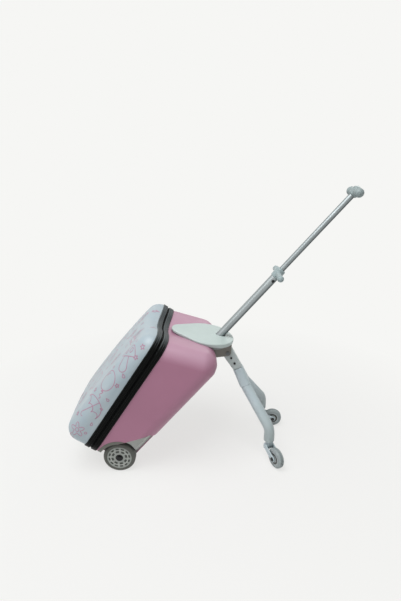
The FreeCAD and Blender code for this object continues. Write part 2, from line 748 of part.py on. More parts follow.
handle_form = grip(
    "pull_handle", size.handle_bottom, size.handle_length, size.handle_radius, size.handle_bar_height,
    size.handle_bar_length, size.handle_bar_radius, size.handle_lobe_radius, size.handle_turn_angle,
)
handle_seat = cylinder(
    "pull_handle_seat", spot(MAST, 0, 0, size.handle_bottom - size.bush_step), size.upper_radius,
    size.upper_top - size.handle_bottom + size.bush_step,
)
handle_top = size.handle_bottom + size.handle_length
pocket_depth = size.button_height - size.button_proud + size.button_travel + size.guide_gap
button_pocket = cylinder(
    "button_pocket", spot(MAST, 0, 0, handle_top - pocket_depth), size.button_radius + size.run_gap,
    pocket_depth * 2,
)
node("pull_handle", cut("pull_handle", handle_form, handle_seat, button_pocket))
button_blank = cylinder(
    "button_blank", spot(MAST, 0, 0, handle_top + size.button_proud - size.button_height),
    size.button_radius, size.button_height,
)
node(
    "handle_button",
    rounded(
        "handle_button", button_blank, size.button_proud / 2,
        lambda edge: is_ring(edge) and MAST.inverse().multVec(edge.Curve.Center).z > float(handle_top),
    ),
)

# Rear wheels, axles and housings
wheel_axis = CASE.multVec(vec(size.wheel_depth, 0, size.wheel_height))
housing_form = rear_body(half_belt, size.housing_inset)


def rolling(name, placement, radius, hub_radius, width, rounding, bore):
    """A tyre round a hub, both centred on the frame's Z."""
    low = spot(placement, 0, 0, -width / 2)
    tread = rounded(f"{name}_tread", cylinder(f"{name}_tread_blank", low, radius, width), rounding, is_ring)
    core = cylinder(f"{name}_core", low, hub_radius, width)
    node(f"{name}_tyre", cut(f"{name}_tyre", tread, core))
    hub_blank = cylinder(f"{name}_hub_blank", low, hub_radius, width)
    hole = cylinder(f"{name}_hub_bore", low, bore, width)
    node(f"{name}_hub", cut(f"{name}_hub", hub_blank, hole))


for name, sign in SIDES:
    outward = FreeCAD.Rotation(FreeCAD.Vector(1, 0, 0), -90 * sign)
    hub_spot = FreeCAD.Placement(
        vec(wheel_axis.x, wheel_track / 2 * sign, wheel_axis.z), outward
    )
    rolling(
        f"rear_wheel_{name}", hub_spot, size.wheel_radius, size.wheel_hub_radius, size.wheel_width,
        size.wheel_round, size.axle_radius + size.run_gap,
    )
    axle_low = -size.wheel_width / 2 - size.side_gap - size.housing_web
    axle_length = size.wheel_width + size.side_gap * 2 + size.housing_web
    pin = cylinder(f"rear_axle_{name}_pin", spot(hub_spot, 0, 0, axle_low), size.axle_radius, axle_length)
    head = cylinder(
        f"rear_axle_{name}_head", spot(hub_spot, 0, 0, size.wheel_width / 2 + size.side_gap),
        size.axle_head_radius, size.axle_head_height,
    )
    node(f"rear_axle_{name}", fuse(f"rear_axle_{name}", pin, head))

    lip = float(wheel_track) / 2 + float(size.wheel_width) / 2 - float(size.housing_lip)
    corner = housing_form.common(wheel_corners[name])
    flange = rear_hollow.common(wheel_region(sign, size.housing_flange)).cut(wheel_corners[name])
    drum = Part.makeCylinder(
        float(size.wheel_radius + size.well_gap + size.housing_wall),
        lip - float(web_inner),
        vec(size.wheel_depth, float(web_inner) * sign, size.wheel_height),
        Y_AXIS * sign,
    )
    reach = 2 * float(size.case_width)
    inboard = Part.makeBox(reach, lip, reach, vec(-reach / 2, min(0, lip * sign), -reach / 2))
    well_start = (float(web_inner) + float(size.housing_web)) * sign
    well = Part.makeCylinder(
        float(size.wheel_radius + size.well_gap),
        float(half_width),
        vec(size.wheel_depth, well_start, size.wheel_height),
        Y_AXIS * sign,
    )
    bore = Part.makeCylinder(
        float(size.axle_radius), float(half_width), vec(size.wheel_depth, 0, size.wheel_height), Y_AXIS * sign
    )
    above = Part.makeBox(reach, reach, reach, vec(-reach / 2, -reach / 2, 0))
    above.Placement = CASE.inverse().multiply(
        FreeCAD.Placement(vec(wheel_axis.x, 0, wheel_axis.z + float(size.housing_skirt)), FreeCAD.Rotation())
    )
    arch = drum.common(above).fuse([corner.common(inboard), flange]).removeSplitter()
    housing = arch.cut(well).cut(bore)
    node(f"wheel_housing_{name}", feature(f"wheel_housing_{name}", housing, CASE))

# Leg bracket under the nose, its pivot bolt and screws
ear_inner = size.arm_width / 2 + size.side_gap
ear_outer = ear_inner + size.bracket_ear
under_seat = pivot_in_case + seat_normal * float(size.pivot_drop)
foot_height = pivot_in_case.z - float(size.bracket_foot)
foot_depth = float(size.panel_depth) + tangent(size.panel_tilt_angle) * foot_height
edge_reach = float(size.bracket_edge)


def bracket_side(points):
    return Part.Face(Part.makePolygon(points + points[:1])).extrude(vec(0, ear_outer * 2, 0))


ear_points = [
    vec(foot_depth, 0, foot_height),
    vec(foot_depth + float(size.bracket_plate), 0, foot_height),
    pivot_in_case + vec(edge_reach, 0, -edge_reach / 2),
    pivot_in_case + vec(edge_reach, 0, edge_reach / 2),
    under_seat + seat_line * edge_reach / 2,
    under_seat - seat_line * float(size.bracket_foot) / 2,
    vec(foot_depth - float(size.pivot_out), 0, foot_height),
]
ears = bracket_side(ear_points)
ears.translate(vec(0, -ear_outer, 0))
slot_room = Part.makeBox(
    4 * float(size.bracket_foot), float(ear_inner) * 2, 4 * float(size.bracket_foot),
    vec(-size.bracket_foot, -ear_inner, -size.bracket_foot * 4 - size.bracket_web),
)
slot_room.Placement = CASE.inverse().multiply(
    FreeCAD.Placement(CASE.multVec(under_seat), SEAT.Rotation)
)
plate_room = Part.makeBox(
    4 * float(size.bracket_foot), float(ear_inner) * 4, 2 * float(size.case_height),
    vec(float(size.bracket_plate), -float(ear_inner) * 2, 0),
)
plate_room.Placement = CASE.inverse().multiply(PANEL)
slot_room = slot_room.common(plate_room)
pivot_hole = Part.makeCylinder(
    float(size.pivot_radius), float(ear_outer) * 2, pivot_in_case - vec(0, ear_outer, 0), Y_AXIS
)
base_room = base_blank.Shape.copy()
base_room.Placement = CASE.inverse().multiply(base_room.Placement)
bracket_shape = ears.cut(rear_solid).cut(base_room).cut(guide_hole).cut(slot_room).cut(pivot_hole)
node("leg_bracket", feature("leg_bracket", bracket_shape, CASE))

plate_height = (pivot_in_case - vec(size.panel_depth)).dot(panel_line)
plate_screws = []
for number, below in enumerate((size.bracket_foot / 3, size.bracket_foot * 2 / 3), 1):
    face = spot(PANEL, size.bracket_plate, 0, plate_height - float(below), Y_AXIS, 90)
    plate_screws.append(cylinder(f"bracket_screw_{number}", face, size.screw_radius, size.screw_height))
node("bracket_screws", group("bracket_screws", *plate_screws))

bolt_spot = FreeCAD.Placement(
    PIVOT - vec(0, ear_outer + size.pivot_head_height, 0), FreeCAD.Rotation(FreeCAD.Vector(1, 0, 0), -90)
)
bolt_pin = cylinder(
    "pivot_pin", spot(bolt_spot, 0, 0, size.pivot_head_height), size.pivot_radius, ear_outer * 2
)
bolt_heads = [
    cylinder(f"pivot_head_{n}", spot(bolt_spot, 0, 0, lift), size.pivot_head_radius, size.pivot_head_height)
    for n, lift in ((1, 0), (2, size.pivot_head_height + ear_outer * 2))
]
node("leg_pivot_bolt", fuse("leg_pivot_bolt", bolt_pin, *bolt_heads))

# Leg: arm, screws, yoke and two bent tubes
flat_side = spot(ARM, 0, size.arm_width / 2, 0, FreeCAD.Vector(1, 0, 0), 90)
arm_blank = slab(
    "leg_arm_blank", flat_side, size.arm_radius, size.arm_end_radius, size.arm_length, size.arm_width
)
yoke_blank = bound(
    "Part::Wedge",
    "leg_yoke_blank",
    spot(LEG, 0, 0, 0, Y_AXIS, 90),
    Ymin=0,
    Ymax=size.yoke_length,
    Xmin=-size.yoke_thickness / 2,
    Xmax=size.yoke_thickness / 2,
    X2min=-size.yoke_thickness / 2,
    X2max=size.yoke_thickness / 2,
    Zmin=-size.yoke_top / 2,
    Zmax=size.yoke_top / 2,
    Z2min=-size.yoke_bottom / 2,
    Z2max=size.yoke_bottom / 2,
)
along_leg = FreeCAD.Rotation(vec(0, 0, 1), vec(1, 0, 0), vec(0, 1, 0), "ZXY")
yoke_blank.Placement = FreeCAD.Placement(LEG.Base, LEG.Rotation.multiply(along_leg))
yoke_form = rounded(
    "leg_yoke_form", yoke_blank, size.yoke_round,
    lambda edge: abs(LEG.Rotation.inverted().multVec(edge.tangentAt(edge.FirstParameter)).x) > 0.5,
)
pivot_bore = cylinder(
    "arm_pivot_bore", spot(flat_side, 0, 0, -size.arm_width), size.pivot_radius + size.run_gap,
    size.arm_width * 3,
)
arm_end = box(
    "leg_arm_end", spot(LEG, 0, 0, -size.arm_length), size.arm_length, size.arm_width * 2,
    size.arm_length * 2,
)
node("leg_arm", cut("leg_arm", arm_blank, pivot_bore, arm_end))
node("leg_yoke", yoke_form)

screw_places = [(along, sign) for along in (size.yoke_start / 3, size.yoke_start * 2 / 3) for sign in (-1, 1)]
screws = []
for number, (along, sign) in enumerate(screw_places, 1):
    face = spot(ARM, along, size.arm_width / 2 * sign, 0, FreeCAD.Vector(1, 0, 0), -90 * sign)
    screws.append(cylinder(f"arm_screw_{number}", face, size.screw_radius, size.screw_height))
arm_screws = group("arm_screws", *screws)

yoke_face = LEG.multVec(vec(size.yoke_length))
leg_spread = size.leg_radius + size.leg_gap / 2
for name, sign in SIDES:
    socket = vec(socket_x, size.socket_track / 2 * sign, size.socket_z)
    bend_point = socket + vec(0, 0, size.socket_length)
    start = yoke_face + vec(0, leg_spread * sign, 0)
    slope = (bend_point - start).normalize()
    start = start - slope * float(size.leg_radius)
    turn = math.acos(slope.dot(vec(0, 0, -1)))
    setback = float(size.leg_bend) * math.tan(turn / 2)
    arc_start = bend_point - slope * setback
    arc_end = bend_point - vec(0, 0, setback)
    inward = (vec(0, 0, -1) - slope).normalize()
    arc_middle = bend_point + inward * float(size.leg_bend) * (1 / math.cos(turn / 2) - 1)
    path = Part.Wire(
        [
            Part.LineSegment(start, arc_start).toShape(),
            Part.Arc(arc_start, arc_middle, arc_end).toShape(),
            Part.LineSegment(arc_end, socket).toShape(),
        ]
    )
    section = Part.Wire(Part.makeCircle(float(size.leg_radius), start, slope))
    tube = path.makePipeShell([section], True, False)
    half_space = Part.makeBox(
        2 * float(size.arm_length), 4 * float(size.yoke_bottom), 4 * float(size.arm_length),
        vec(-2 * float(size.arm_length), -2 * float(size.yoke_bottom), -2 * float(size.arm_length)),
    )
    half_space.Placement = FreeCAD.Placement(yoke_face, LEG.Rotation)
    sleeve = Part.makeCylinder(float(size.socket_radius), float(size.socket_sleeve), socket, Z_AXIS)
    stem_bore = Part.makeCylinder(
        float(size.stem_radius + size.run_gap), float(size.stem_length + size.side_gap), socket, Z_AXIS
    )
    leg_shape = tube.cut(half_space).fuse(sleeve).cut(stem_bore)
    node(f"leg_{name}", feature(f"leg_{name}", leg_shape, WORLD))
node("arm_screws", arm_screws)

# Casters
for name, sign in SIDES:
    turn = size.caster_turn_right_angle if name == "right" else size.caster_turn_left_angle
    swivel = FreeCAD.Placement(
        vec(socket_x, size.socket_track / 2 * sign, 0), FreeCAD.Rotation(Z_AXIS, float(turn))
    )
    wheel_side = spot(swivel, size.caster_trail, 0, size.caster_radius, FreeCAD.Vector(1, 0, 0), 90)
    rolling(
        f"front_wheel_{name}", wheel_side, size.caster_radius, size.caster_hub_radius, size.caster_width,
        size.caster_round, size.caster_axle_radius + size.run_gap,
    )
    crown_top = size.socket_z - size.side_gap - size.neck_height
    crown_low = crown_top - size.fork_crown_height
    arm_inner = size.caster_width / 2 + size.fork_gap
    arm_outer = arm_inner + size.fork_arm
    crown = box(
        f"fork_{name}_crown", spot(swivel, -size.fork_crown, 0, crown_low), size.fork_crown * 2,
        arm_outer * 2, size.fork_crown_height,
    )
    crown_form = rounded(
        f"fork_{name}_crown_form", crown, size.fork_arm,
        lambda edge: abs(edge.tangentAt(edge.FirstParameter).z) > 0.9,
    )
    neck = cylinder(f"fork_{name}_neck", spot(swivel, 0, 0, crown_top), size.neck_radius, size.neck_height)
    stem = cylinder(
        f"fork_{name}_stem", spot(swivel, 0, 0, crown_top), size.stem_radius,
        size.neck_height + size.stem_length + size.side_gap,
    )
    root = spot(swivel, 0, 0, crown_low + size.fork_crown_height / 2)
    drop = float(crown_low + size.fork_crown_height / 2 - size.caster_radius)
    fall = math.degrees(math.atan2(drop, float(size.caster_trail)))
    arm_reach = math.hypot(drop, float(size.caster_trail))
    arms = []
    for edge_name, low in (("near", -arm_outer), ("far", arm_inner)):
        plate = spot(spot(root, 0, low, 0, Y_AXIS, fall), 0, size.fork_arm, 0, FreeCAD.Vector(1, 0, 0), 90)
        arms.append(
            slab(
                f"fork_{name}_arm_{edge_name}", plate, size.fork_root_radius, size.fork_tip_radius,
                arm_reach, size.fork_arm,
            )
        )
    axle_hole = cylinder(
        f"fork_{name}_axle_hole", spot(wheel_side, 0, 0, -arm_outer), size.caster_axle_radius, arm_outer * 2
    )
    fork_form = fuse(f"fork_{name}_form", crown_form, neck, stem, *arms)
    node(f"caster_fork_{name}", cut(f"caster_fork_{name}", fork_form, axle_hole))
    pin = cylinder(
        f"caster_pin_{name}", spot(wheel_side, 0, 0, -arm_outer), size.caster_axle_radius, arm_outer * 2
    )
    heads = [
        cylinder(
            f"caster_head_{name}_{n}", spot(wheel_side, 0, 0, low), size.caster_head_radius,
            size.caster_head_height,
        )
        for n, low in ((1, -arm_outer - size.caster_head_height), (2, arm_outer))
    ]
    node(f"caster_axle_{name}", fuse(f"caster_axle_{name}", pin, *heads))

# Zipper sliders on the far side, each with its hanging pull tab
slider_face = half_width + size.trim_proud + size.parting_gap
for name, height in (("lower", size.slider_low), ("upper", size.slider_high)):
    seat_of_slider = spot(CASE, -size.slider_width / 2, slider_face + size.slider_height / 2, height)
    slider_blank = box(
        f"slider_{name}_blank", seat_of_slider, size.slider_width, size.slider_height, size.slider_length
    )
    slider = rounded(
        f"zipper_slider_{name}", slider_blank, size.slider_height / 4,
        lambda edge: edge.CenterOfMass.y > float(slider_face + size.slider_height / 2),
    )
    node(f"zipper_slider_{name}", slider)
    eye = spot(
        CASE, 0, slider_face + size.slider_height + size.parting_gap, height + size.pull_root_radius * 2
    )
    hanging = spot(spot(eye, 0, size.pull_thickness, 0, FreeCAD.Vector(1, 0, 0), 90), 0, 0, 0, Z_AXIS, 90)
    tab = slab(
        f"zipper_pull_{name}", spot(hanging, -size.pull_length), size.pull_radius, size.pull_root_radius,
        size.pull_length, size.pull_thickness,
    )
    node(f"zipper_pull_{name}", tab)

# Checks, then one file for each piece
doc.recompute()
for thing in doc.Objects:
    if "Invalid" in thing.State or "Error" in thing.State:
        raise RuntimeError(f"{thing.Name} failed: {thing.State}")
for name, thing in nodes.items():
    if thing.Shape.isNull() or not thing.Shape.isValid() or thing.Shape.Volume <= 0:
        raise RuntimeError(f"{name} has no valid shape")
os.makedirs("parts", exist_ok=True)
for name, thing in nodes.items():
    thing.Shape.exportStep(f"parts/{name}.step")
print(f"{len(nodes)} pieces written")
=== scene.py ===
"""Ride-on suitcase in riding mode: finishes, small details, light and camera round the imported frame."""

import json
import math
import random

import bmesh
import bpy
from mathutils import Matrix, Vector
from mathutils.bvhtree import BVHTree


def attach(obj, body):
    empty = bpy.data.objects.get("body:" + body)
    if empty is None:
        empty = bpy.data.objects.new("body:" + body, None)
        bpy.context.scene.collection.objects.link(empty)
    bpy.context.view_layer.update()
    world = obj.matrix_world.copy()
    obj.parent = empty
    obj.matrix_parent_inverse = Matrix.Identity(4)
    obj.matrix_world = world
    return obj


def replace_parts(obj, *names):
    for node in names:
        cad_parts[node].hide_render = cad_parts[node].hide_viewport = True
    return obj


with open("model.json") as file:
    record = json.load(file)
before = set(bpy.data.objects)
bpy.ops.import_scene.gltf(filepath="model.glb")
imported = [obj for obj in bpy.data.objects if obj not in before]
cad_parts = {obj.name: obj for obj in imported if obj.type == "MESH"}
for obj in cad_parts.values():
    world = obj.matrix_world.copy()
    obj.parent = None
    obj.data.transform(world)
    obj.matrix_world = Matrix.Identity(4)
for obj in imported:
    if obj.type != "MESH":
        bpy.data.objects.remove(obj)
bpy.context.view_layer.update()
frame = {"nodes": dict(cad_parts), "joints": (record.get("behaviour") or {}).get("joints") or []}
nodes = frame["nodes"]
joints = {joint["name"]: joint for joint in frame["joints"]}
SIDES = ("right", "left")
MM = 0.001

# The case's own frame: X from the belt's middle to the back panel, Y across, Z up the belt
CASE_LEAN = math.radians(33)
CASE_FOOT = Vector((-0.354, 0, 0.0766))
CASE = Matrix.Translation(CASE_FOOT) @ Matrix.Rotation(CASE_LEAN, 4, "Y")
CASE_INVERSE = CASE.inverted()
CASE_HEIGHT = 421 * MM
HALF_BELT = 19 * MM

# Camera, at the photograph's viewing angle
CAMERA_PLACE = (-0.0185, -1.229, 0.915)
CAMERA_PITCH = math.radians(71.3)
CAMERA_LENS = 25.76


# Meshes
def mesh_object(name, bm, smooth_angle=None):
    """A new object from a bmesh, smooth shaded, with sharp edges past the angle."""
    mesh = bpy.data.meshes.new(name)
    bmesh.ops.recalc_face_normals(bm, faces=bm.faces)
    for face in bm.faces:
        face.smooth = True
    bm.to_mesh(mesh)
    bm.free()
    if smooth_angle is not None:
        mesh.set_sharp_from_angle(angle=math.radians(smooth_angle))
    thing = bpy.data.objects.new(name, mesh)
    bpy.context.scene.collection.objects.link(thing)
    return thing


def dress(thing, body, slot, *materials):
    """Puts a piece on its body, with its finish."""
    for material in materials:
        thing.data.materials.append(material)
    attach(thing, body)
    return thing


def paint(node_name, *materials):
    """Gives a CAD node its finish."""
    data = nodes[node_name].data
    data.materials.clear()
    for material in materials:
        data.materials.append(material)


def along(direction, place):
    """A frame whose Z points in a direction."""
    turn = Vector(direction).to_track_quat("Z", "Y").to_matrix().to_4x4()
    return Matrix.Translation(Vector(place)) @ turn


def lathe(bm, profile, place, segments):
    """Turns a closed profile of (radius, height) points about a frame's Z."""
    rings = []
    for radius, height in profile:
        ring = []
        for step in range(segments):
            angle = 2 * math.pi * step / segments
            spot = Vector((radius * math.cos(angle), radius * math.sin(angle), height))
            ring.append(bm.verts.new(place @ spot))
        rings.append(ring)
    for first, second in zip(rings, rings[1:] + rings[:1]):
        for step in range(segments):
            after = (step + 1) % segments
            bm.faces.new((first[step], first[after], second[after], second[step]))


def arc(centre, radius, start, end, steps):
    """Points on an arc, with angles in degrees."""
    angles = [math.radians(start + (end - start) * step / steps) for step in range(steps + 1)]
    return [(centre[0] + radius * math.cos(a), centre[1] + radius * math.sin(a)) for a in angles]


def evaluated_mesh(thing, name):
    """The finished mesh of an object with modifiers or a bevelled curve, which then goes."""
    mesh = bpy.data.meshes.new_from_object(thing.evaluated_get(bpy.context.evaluated_depsgraph_get()))
    bpy.data.objects.remove(thing)
    mesh.name = name
    mesh.shade_smooth()
    done = bpy.data.objects.new(name, mesh)
    bpy.context.scene.collection.objects.link(done)
    return done


def softened(name, node_names, voxel, rounds):
    """One smooth moulding from CAD nodes: their solids joined and their edges eased."""
    bm = bmesh.new()
    for node_name in node_names:
        bm.from_mesh(nodes[node_name].data)
    rough = mesh_object(name + "_rough", bm)
    remesh = rough.modifiers.new("remesh", "REMESH")
    remesh.mode = "VOXEL"
    remesh.voxel_size = voxel
    ease = rough.modifiers.new("ease", "SMOOTH")
    ease.factor = 0.5
    ease.iterations = rounds
    return evaluated_mesh(rough, name)


def outline(node_name, depth):
    """The outer edge of a CAD ring where the case is cut across at a depth, from its upper far corner."""
    bm = bmesh.new()
    bm.from_mesh(nodes[node_name].data)
    bmesh.ops.remove_doubles(bm, verts=bm.verts, dist=1e-6)
    normal = CASE.to_3x3() @ Vector((1, 0, 0))
    cut = bmesh.ops.bisect_plane(
        bm,
        geom=list(bm.verts) + list(bm.edges) + list(bm.faces),
        plane_co=CASE @ Vector((depth, 0, 0)),
        plane_no=normal,
        clear_inner=True,
        clear_outer=True,
    )
    edges = dict.fromkeys(item for item in cut["geom_cut"] if isinstance(item, bmesh.types.BMEdge))
    loops = []
    while edges:
        edge, _ = edges.popitem()
        start, here = edge.verts
        loop = [start.co.copy()]
        while here != start:
            loop.append(here.co.copy())
            edge = next((other for other in here.link_edges if other in edges), None)
            if edge is None:
                break
            del edges[edge]
            here = edge.other_vert(here)
        loops.append(loop)
    bm.free()
    loop = max(loops, key=length_of)
    first = max(range(len(loop)), key=lambda n: loop[n].y + loop[n].z)
    loop = loop[first:] + loop[:first]
    if loop[1].y < loop[-1].y:
        loop = loop[:1] + loop[:0:-1]
    return loop


def length_of(loop):
    """The length of a closed line."""
    return sum((b - a).length for a, b in zip(loop, loop[1:] + loop[:1]))


def spaced(loop, count):
    """Evenly spaced points on a closed line."""
    total = length_of(loop)
    points = []
    travelled = 0.0
    target = 0.0
    for a, b in zip(loop, loop[1:] + loop[:1]):
        step = (b - a).length
        while len(points) < count and travelled + step >= target and step > 0:
            points.append(a.lerp(b, (target - travelled) / step))
            target = total * len(points) / count
        travelled += step
    return points


# Node materials
class Finish:
    """A node material under construction."""

    def __init__(self, name, color, roughness, metallic=0.0, **settings):
        self.material = bpy.data.materials.new(name)
        self.material.use_nodes = True
        self.tree = self.material.node_tree
        self.shader = self.tree.nodes["Principled BSDF"]
        self.place = self.make("ShaderNodeTexCoord").outputs["Object"]
        self.color = (*color, 1.0)
        self.shader.inputs["Base Color"].default_value = self.color
        self.shader.inputs["Roughness"].default_value = roughness
        self.shader.inputs["Metallic"].default_value = metallic
        for setting, value in settings.items():
            title = setting.replace("_", " ").title().replace("Ior", "IOR")
            self.shader.inputs[title].default_value = value
        self.normal = None

    def make(self, kind, options=None, **inputs):
        """A new node with its options set and its inputs fed."""
        node = self.tree.nodes.new(kind)
        for option, value in (options or {}).items():
            setattr(node, option, value)
        for name, value in inputs.items():
            self.feed(node.inputs[name.replace("_", " ")], value)
        return node

    def feed(self, target, value):
        """Links an output to an input, or sets a plain value there."""
        if isinstance(value, bpy.types.NodeSocket):
            self.tree.links.new(value, target)
        else:
            target.default_value = value

    def stretched(self, scale, turn=(0, 0, 0)):
        """Coordinates turned and then scaled by axis."""
        turned = self.make("ShaderNodeMapping", Vector=self.place, Rotation=turn).outputs["Vector"]
        return self.make("ShaderNodeMapping", Vector=turned, Scale=scale).outputs["Vector"]

    def noise(self, scale, detail=2.0, rough=0.5, vector=None):
        """A noise value from 0 to 1."""
        inputs = {"Vector": vector or self.place, "Scale": scale, "Detail": detail, "Roughness": rough}
        return self.make("ShaderNodeTexNoise", **inputs).outputs["Fac"]

    def spread(self, value, low, high, start=0.3, end=0.7):
        """A value's middle range carried to another range."""
        names = {"From_Min": start, "From_Max": end, "To_Min": low, "To_Max": high}
        return self.make("ShaderNodeMapRange", Value=value, **names).outputs["Result"]

    def blend(self, factor, first, second):
        """Two colours mixed by a factor."""
        node = self.make("ShaderNodeMix", {"data_type": "RGBA"})
        self.feed(node.inputs["Factor"], factor)
        self.feed(node.inputs[6], first)
        self.feed(node.inputs[7], second)
        return node.outputs[2]

    def shade(self, amount):
        """The base colour made lighter or darker."""
        return (*(min(1.0, part * amount) for part in self.color[:3]), 1.0)

    def mottle(self, scale, darkest, lightest):
        """Slow colour change over the surface."""
        cloud = self.spread(self.noise(scale, 3.0), 0.0, 1.0)
        self.set_color(self.blend(cloud, self.shade(darkest), self.shade(lightest)))
        return self

    def set_color(self, value):
        """Makes a colour output the surface's colour."""
        self.hue = value
        self.feed(self.shader.inputs["Base Color"], value)

    def tinted(self, factor, color):
        """The colour so far, mixed towards another by a factor."""
        self.set_color(self.blend(factor, self.hue, (*color, 1.0)))
        return self

    def facing(self, direction, color, strength, start, end):
        """Painted highlight and shade: the colour mixed towards another on the faces that look in a
        direction.
        """
        look = self.make("ShaderNodeVectorMath", {"operation": "DOT_PRODUCT"})
        self.feed(look.inputs[0], self.make("ShaderNodeTexCoord").outputs["Normal"])
        self.feed(look.inputs[1], direction)
        return self.tinted(self.spread(look.outputs["Value"], 0.0, strength, start, end), color)

    def low_down(self, color, top, bottom):
        """The colour mixed towards another from a height down to a lower one."""
        height = self.make("ShaderNodeSeparateXYZ", Vector=self.place).outputs["Z"]
        return self.tinted(self.spread(height, 1.0, 0.0, bottom, top), color)

    def painted_corner_shade(self, reach, darkest):
        """Painted shade: the colour darkened in inner corners and creases, from ambient occlusion."""
        shadow = self.make("ShaderNodeAmbientOcclusion", {"samples": 6}, Distance=reach).outputs["AO"]
        factor = self.spread(shadow, 1.0, 0.0, 0.35, 0.9)
        self.set_color(self.blend(factor, self.hue, self.shade(darkest)))
        return self

    def gloss(self, scale, low, high):
        """Roughness that wanders over the surface."""
        self.feed(self.shader.inputs["Roughness"], self.spread(self.noise(scale, 4.0), low, high))
        return self

    def relief(self, height, strength, distance):
        """A bump on top of the bumps so far."""
        bump = self.make("ShaderNodeBump", Height=height, Strength=strength, Distance=distance)
        if self.normal:
            self.feed(bump.inputs["Normal"], self.normal)
        self.normal = bump.outputs["Normal"]
        self.feed(self.shader.inputs["Normal"], self.normal)
        return self


def srgb(red, green, blue):
    """Colour from 0 to 255 display values."""
    parts = [value / 255 for value in (red, green, blue)]
    return tuple(p / 12.92 if p <= 0.04045 else ((p + 0.055) / 1.055) ** 2.4 for p in parts)


def moulded(name, color, roughness, grain=900.0, depth=0.05, **settings):
    """Moulded plastic: slight mottle, fine grain, uneven gloss, painted shade in its corners."""
    finish = Finish(name, color, roughness, **settings)
    finish.mottle(14.0, 0.95, 1.03).painted_corner_shade(0.010, 0.62)
    finish.gloss(60.0, roughness - 0.06, roughness + 0.08)
    finish.relief(finish.noise(grain, 2.0), depth, 0.0002)
    return finish


PINK = srgb(171, 115, 141)
LID_WHITE = srgb(166, 182, 191)
SEAT_WHITE = srgb(191, 205, 202)
BODY_WHITE = srgb(192, 207, 212)
GREY = srgb(196, 207, 206)
GRIP_GREY = srgb(152, 168, 170)
HANDLE_GREY = srgb(140, 153, 154)
PINK_PAINTED_SHEEN = srgb(196, 164, 182)
PEARL = srgb(180, 190, 194)
INK = srgb(180, 122, 151)
# Painted shade: the legs turn greyer and darker towards their lower ends
LEG_LOW_SHADE = srgb(170, 183, 184)
LEG_SHADE_TOP = 190 * MM
LEG_SHADE_BOTTOM = 100 * MM
BELT_BLACK = srgb(7, 9, 8)
# Painted highlight: grey on the belt's upward faces, standing in for the top light's reflection
BELT_TOP_HIGHLIGHT = srgb(112, 119, 121)

# Faces looking this way, up and towards the front, get the pink's painted sheen
SHOULDER = (0.0, -0.5, 0.866)

pink_shell = Finish("pink_shell", PINK, 0.42, coat_weight=0.2, coat_roughness=0.25)
# Painted sheen: paler pink on the upper shoulder where the top light reflects, and painted shade in the
# corners
pink_shell.mottle(6.0, 0.96, 1.03).facing(SHOULDER, PINK_PAINTED_SHEEN, 0.6, 0.5, 0.97).painted_corner_shade(0.012, 0.6)
pink_shell.gloss(35.0, 0.38, 0.48)
pink_shell.relief(pink_shell.noise(420.0, 1.0), 0.05, 0.0003)
pink_shell.relief(pink_shell.noise(9.0, 1.0), 0.06, 0.004)

white_shell = Finish("white_shell", LID_WHITE, 0.4, coat_weight=0.15, coat_roughness=0.22)
white_shell.mottle(5.0, 0.97, 1.03)
# Random pearl tone, then painted shade in the lid's inner corners and creases
white_shell.tinted(white_shell.spread(white_shell.noise(26.0, 3.0), 0.0, 0.6), PEARL).painted_corner_shade(0.012, 0.7)
white_shell.gloss(35.0, 0.36, 0.46)
white_shell.relief(white_shell.noise(420.0, 1.0), 0.05, 0.0003)
white_shell.relief(white_shell.noise(9.0, 1.0), 0.06, 0.004)

lining = Finish("lining_fabric", srgb(118, 122, 130), 0.85, sheen_weight=0.3)
lining.mottle(30.0, 0.85, 1.1).gloss(80.0, 0.78, 0.92)
weave = lining.stretched((1, 1, 1), (0, -CASE_LEAN, 0))
for direction in ("X", "Z"):
    threads = lining.make("ShaderNodeTexWave", {"bands_direction": direction}, Vector=weave, Scale=420.0)
    lining.relief(threads.outputs["Fac"], 0.35, 0.0004)

ink = Finish("print_ink", INK, 0.38)
ink.mottle(160.0, 0.9, 1.08).gloss(120.0, 0.34, 0.44)
ink.relief(ink.noise(900.0, 1.0), 0.1, 0.0001)

belt_rubber = Finish("belt_rubber", BELT_BLACK, 0.4, specular_ior_level=0.07)
# Painted highlight on the belt strip's upward faces
belt_rubber.mottle(40.0, 0.8, 1.25).facing((0, 0, 1), BELT_TOP_HIGHLIGHT, 0.75, 0.62, 0.98).gloss(70.0, 0.36, 0.52)
belt_lines = belt_rubber.stretched((1, 1, 1), (0, -CASE_LEAN, 0))
ribs = belt_rubber.make("ShaderNodeTexWave", Vector=belt_lines, Scale=105.0)
belt_rubber.relief(ribs.outputs["Fac"], 0.35, 0.0005).relief(belt_rubber.noise(700.0), 0.15, 0.0003)

belt_piping = Finish("belt_piping", srgb(9, 11, 10), 0.36, specular_ior_level=0.1)
# Painted highlight on the piping's upward faces
belt_piping.mottle(60.0, 0.85, 1.2).facing((0, 0, 1), BELT_TOP_HIGHLIGHT, 0.75, 0.62, 0.98).gloss(90.0, 0.3, 0.44)
belt_piping.relief(belt_piping.noise(800.0), 0.12, 0.0002)

zipper_tape = Finish("zipper_tape", srgb(6, 7, 7), 0.8, specular_ior_level=0.05)
zipper_tape.mottle(80.0, 0.8, 1.3).gloss(150.0, 0.74, 0.88)
zipper_tape.relief(zipper_tape.noise(1500.0, 1.0), 0.4, 0.0003)

zipper_teeth = Finish("zipper_teeth", srgb(14, 15, 15), 0.4, specular_ior_level=0.15)
zipper_teeth.mottle(120.0, 0.8, 1.3).gloss(200.0, 0.3, 0.5)
zipper_teeth.relief(zipper_teeth.noise(900.0), 0.1, 0.0001)

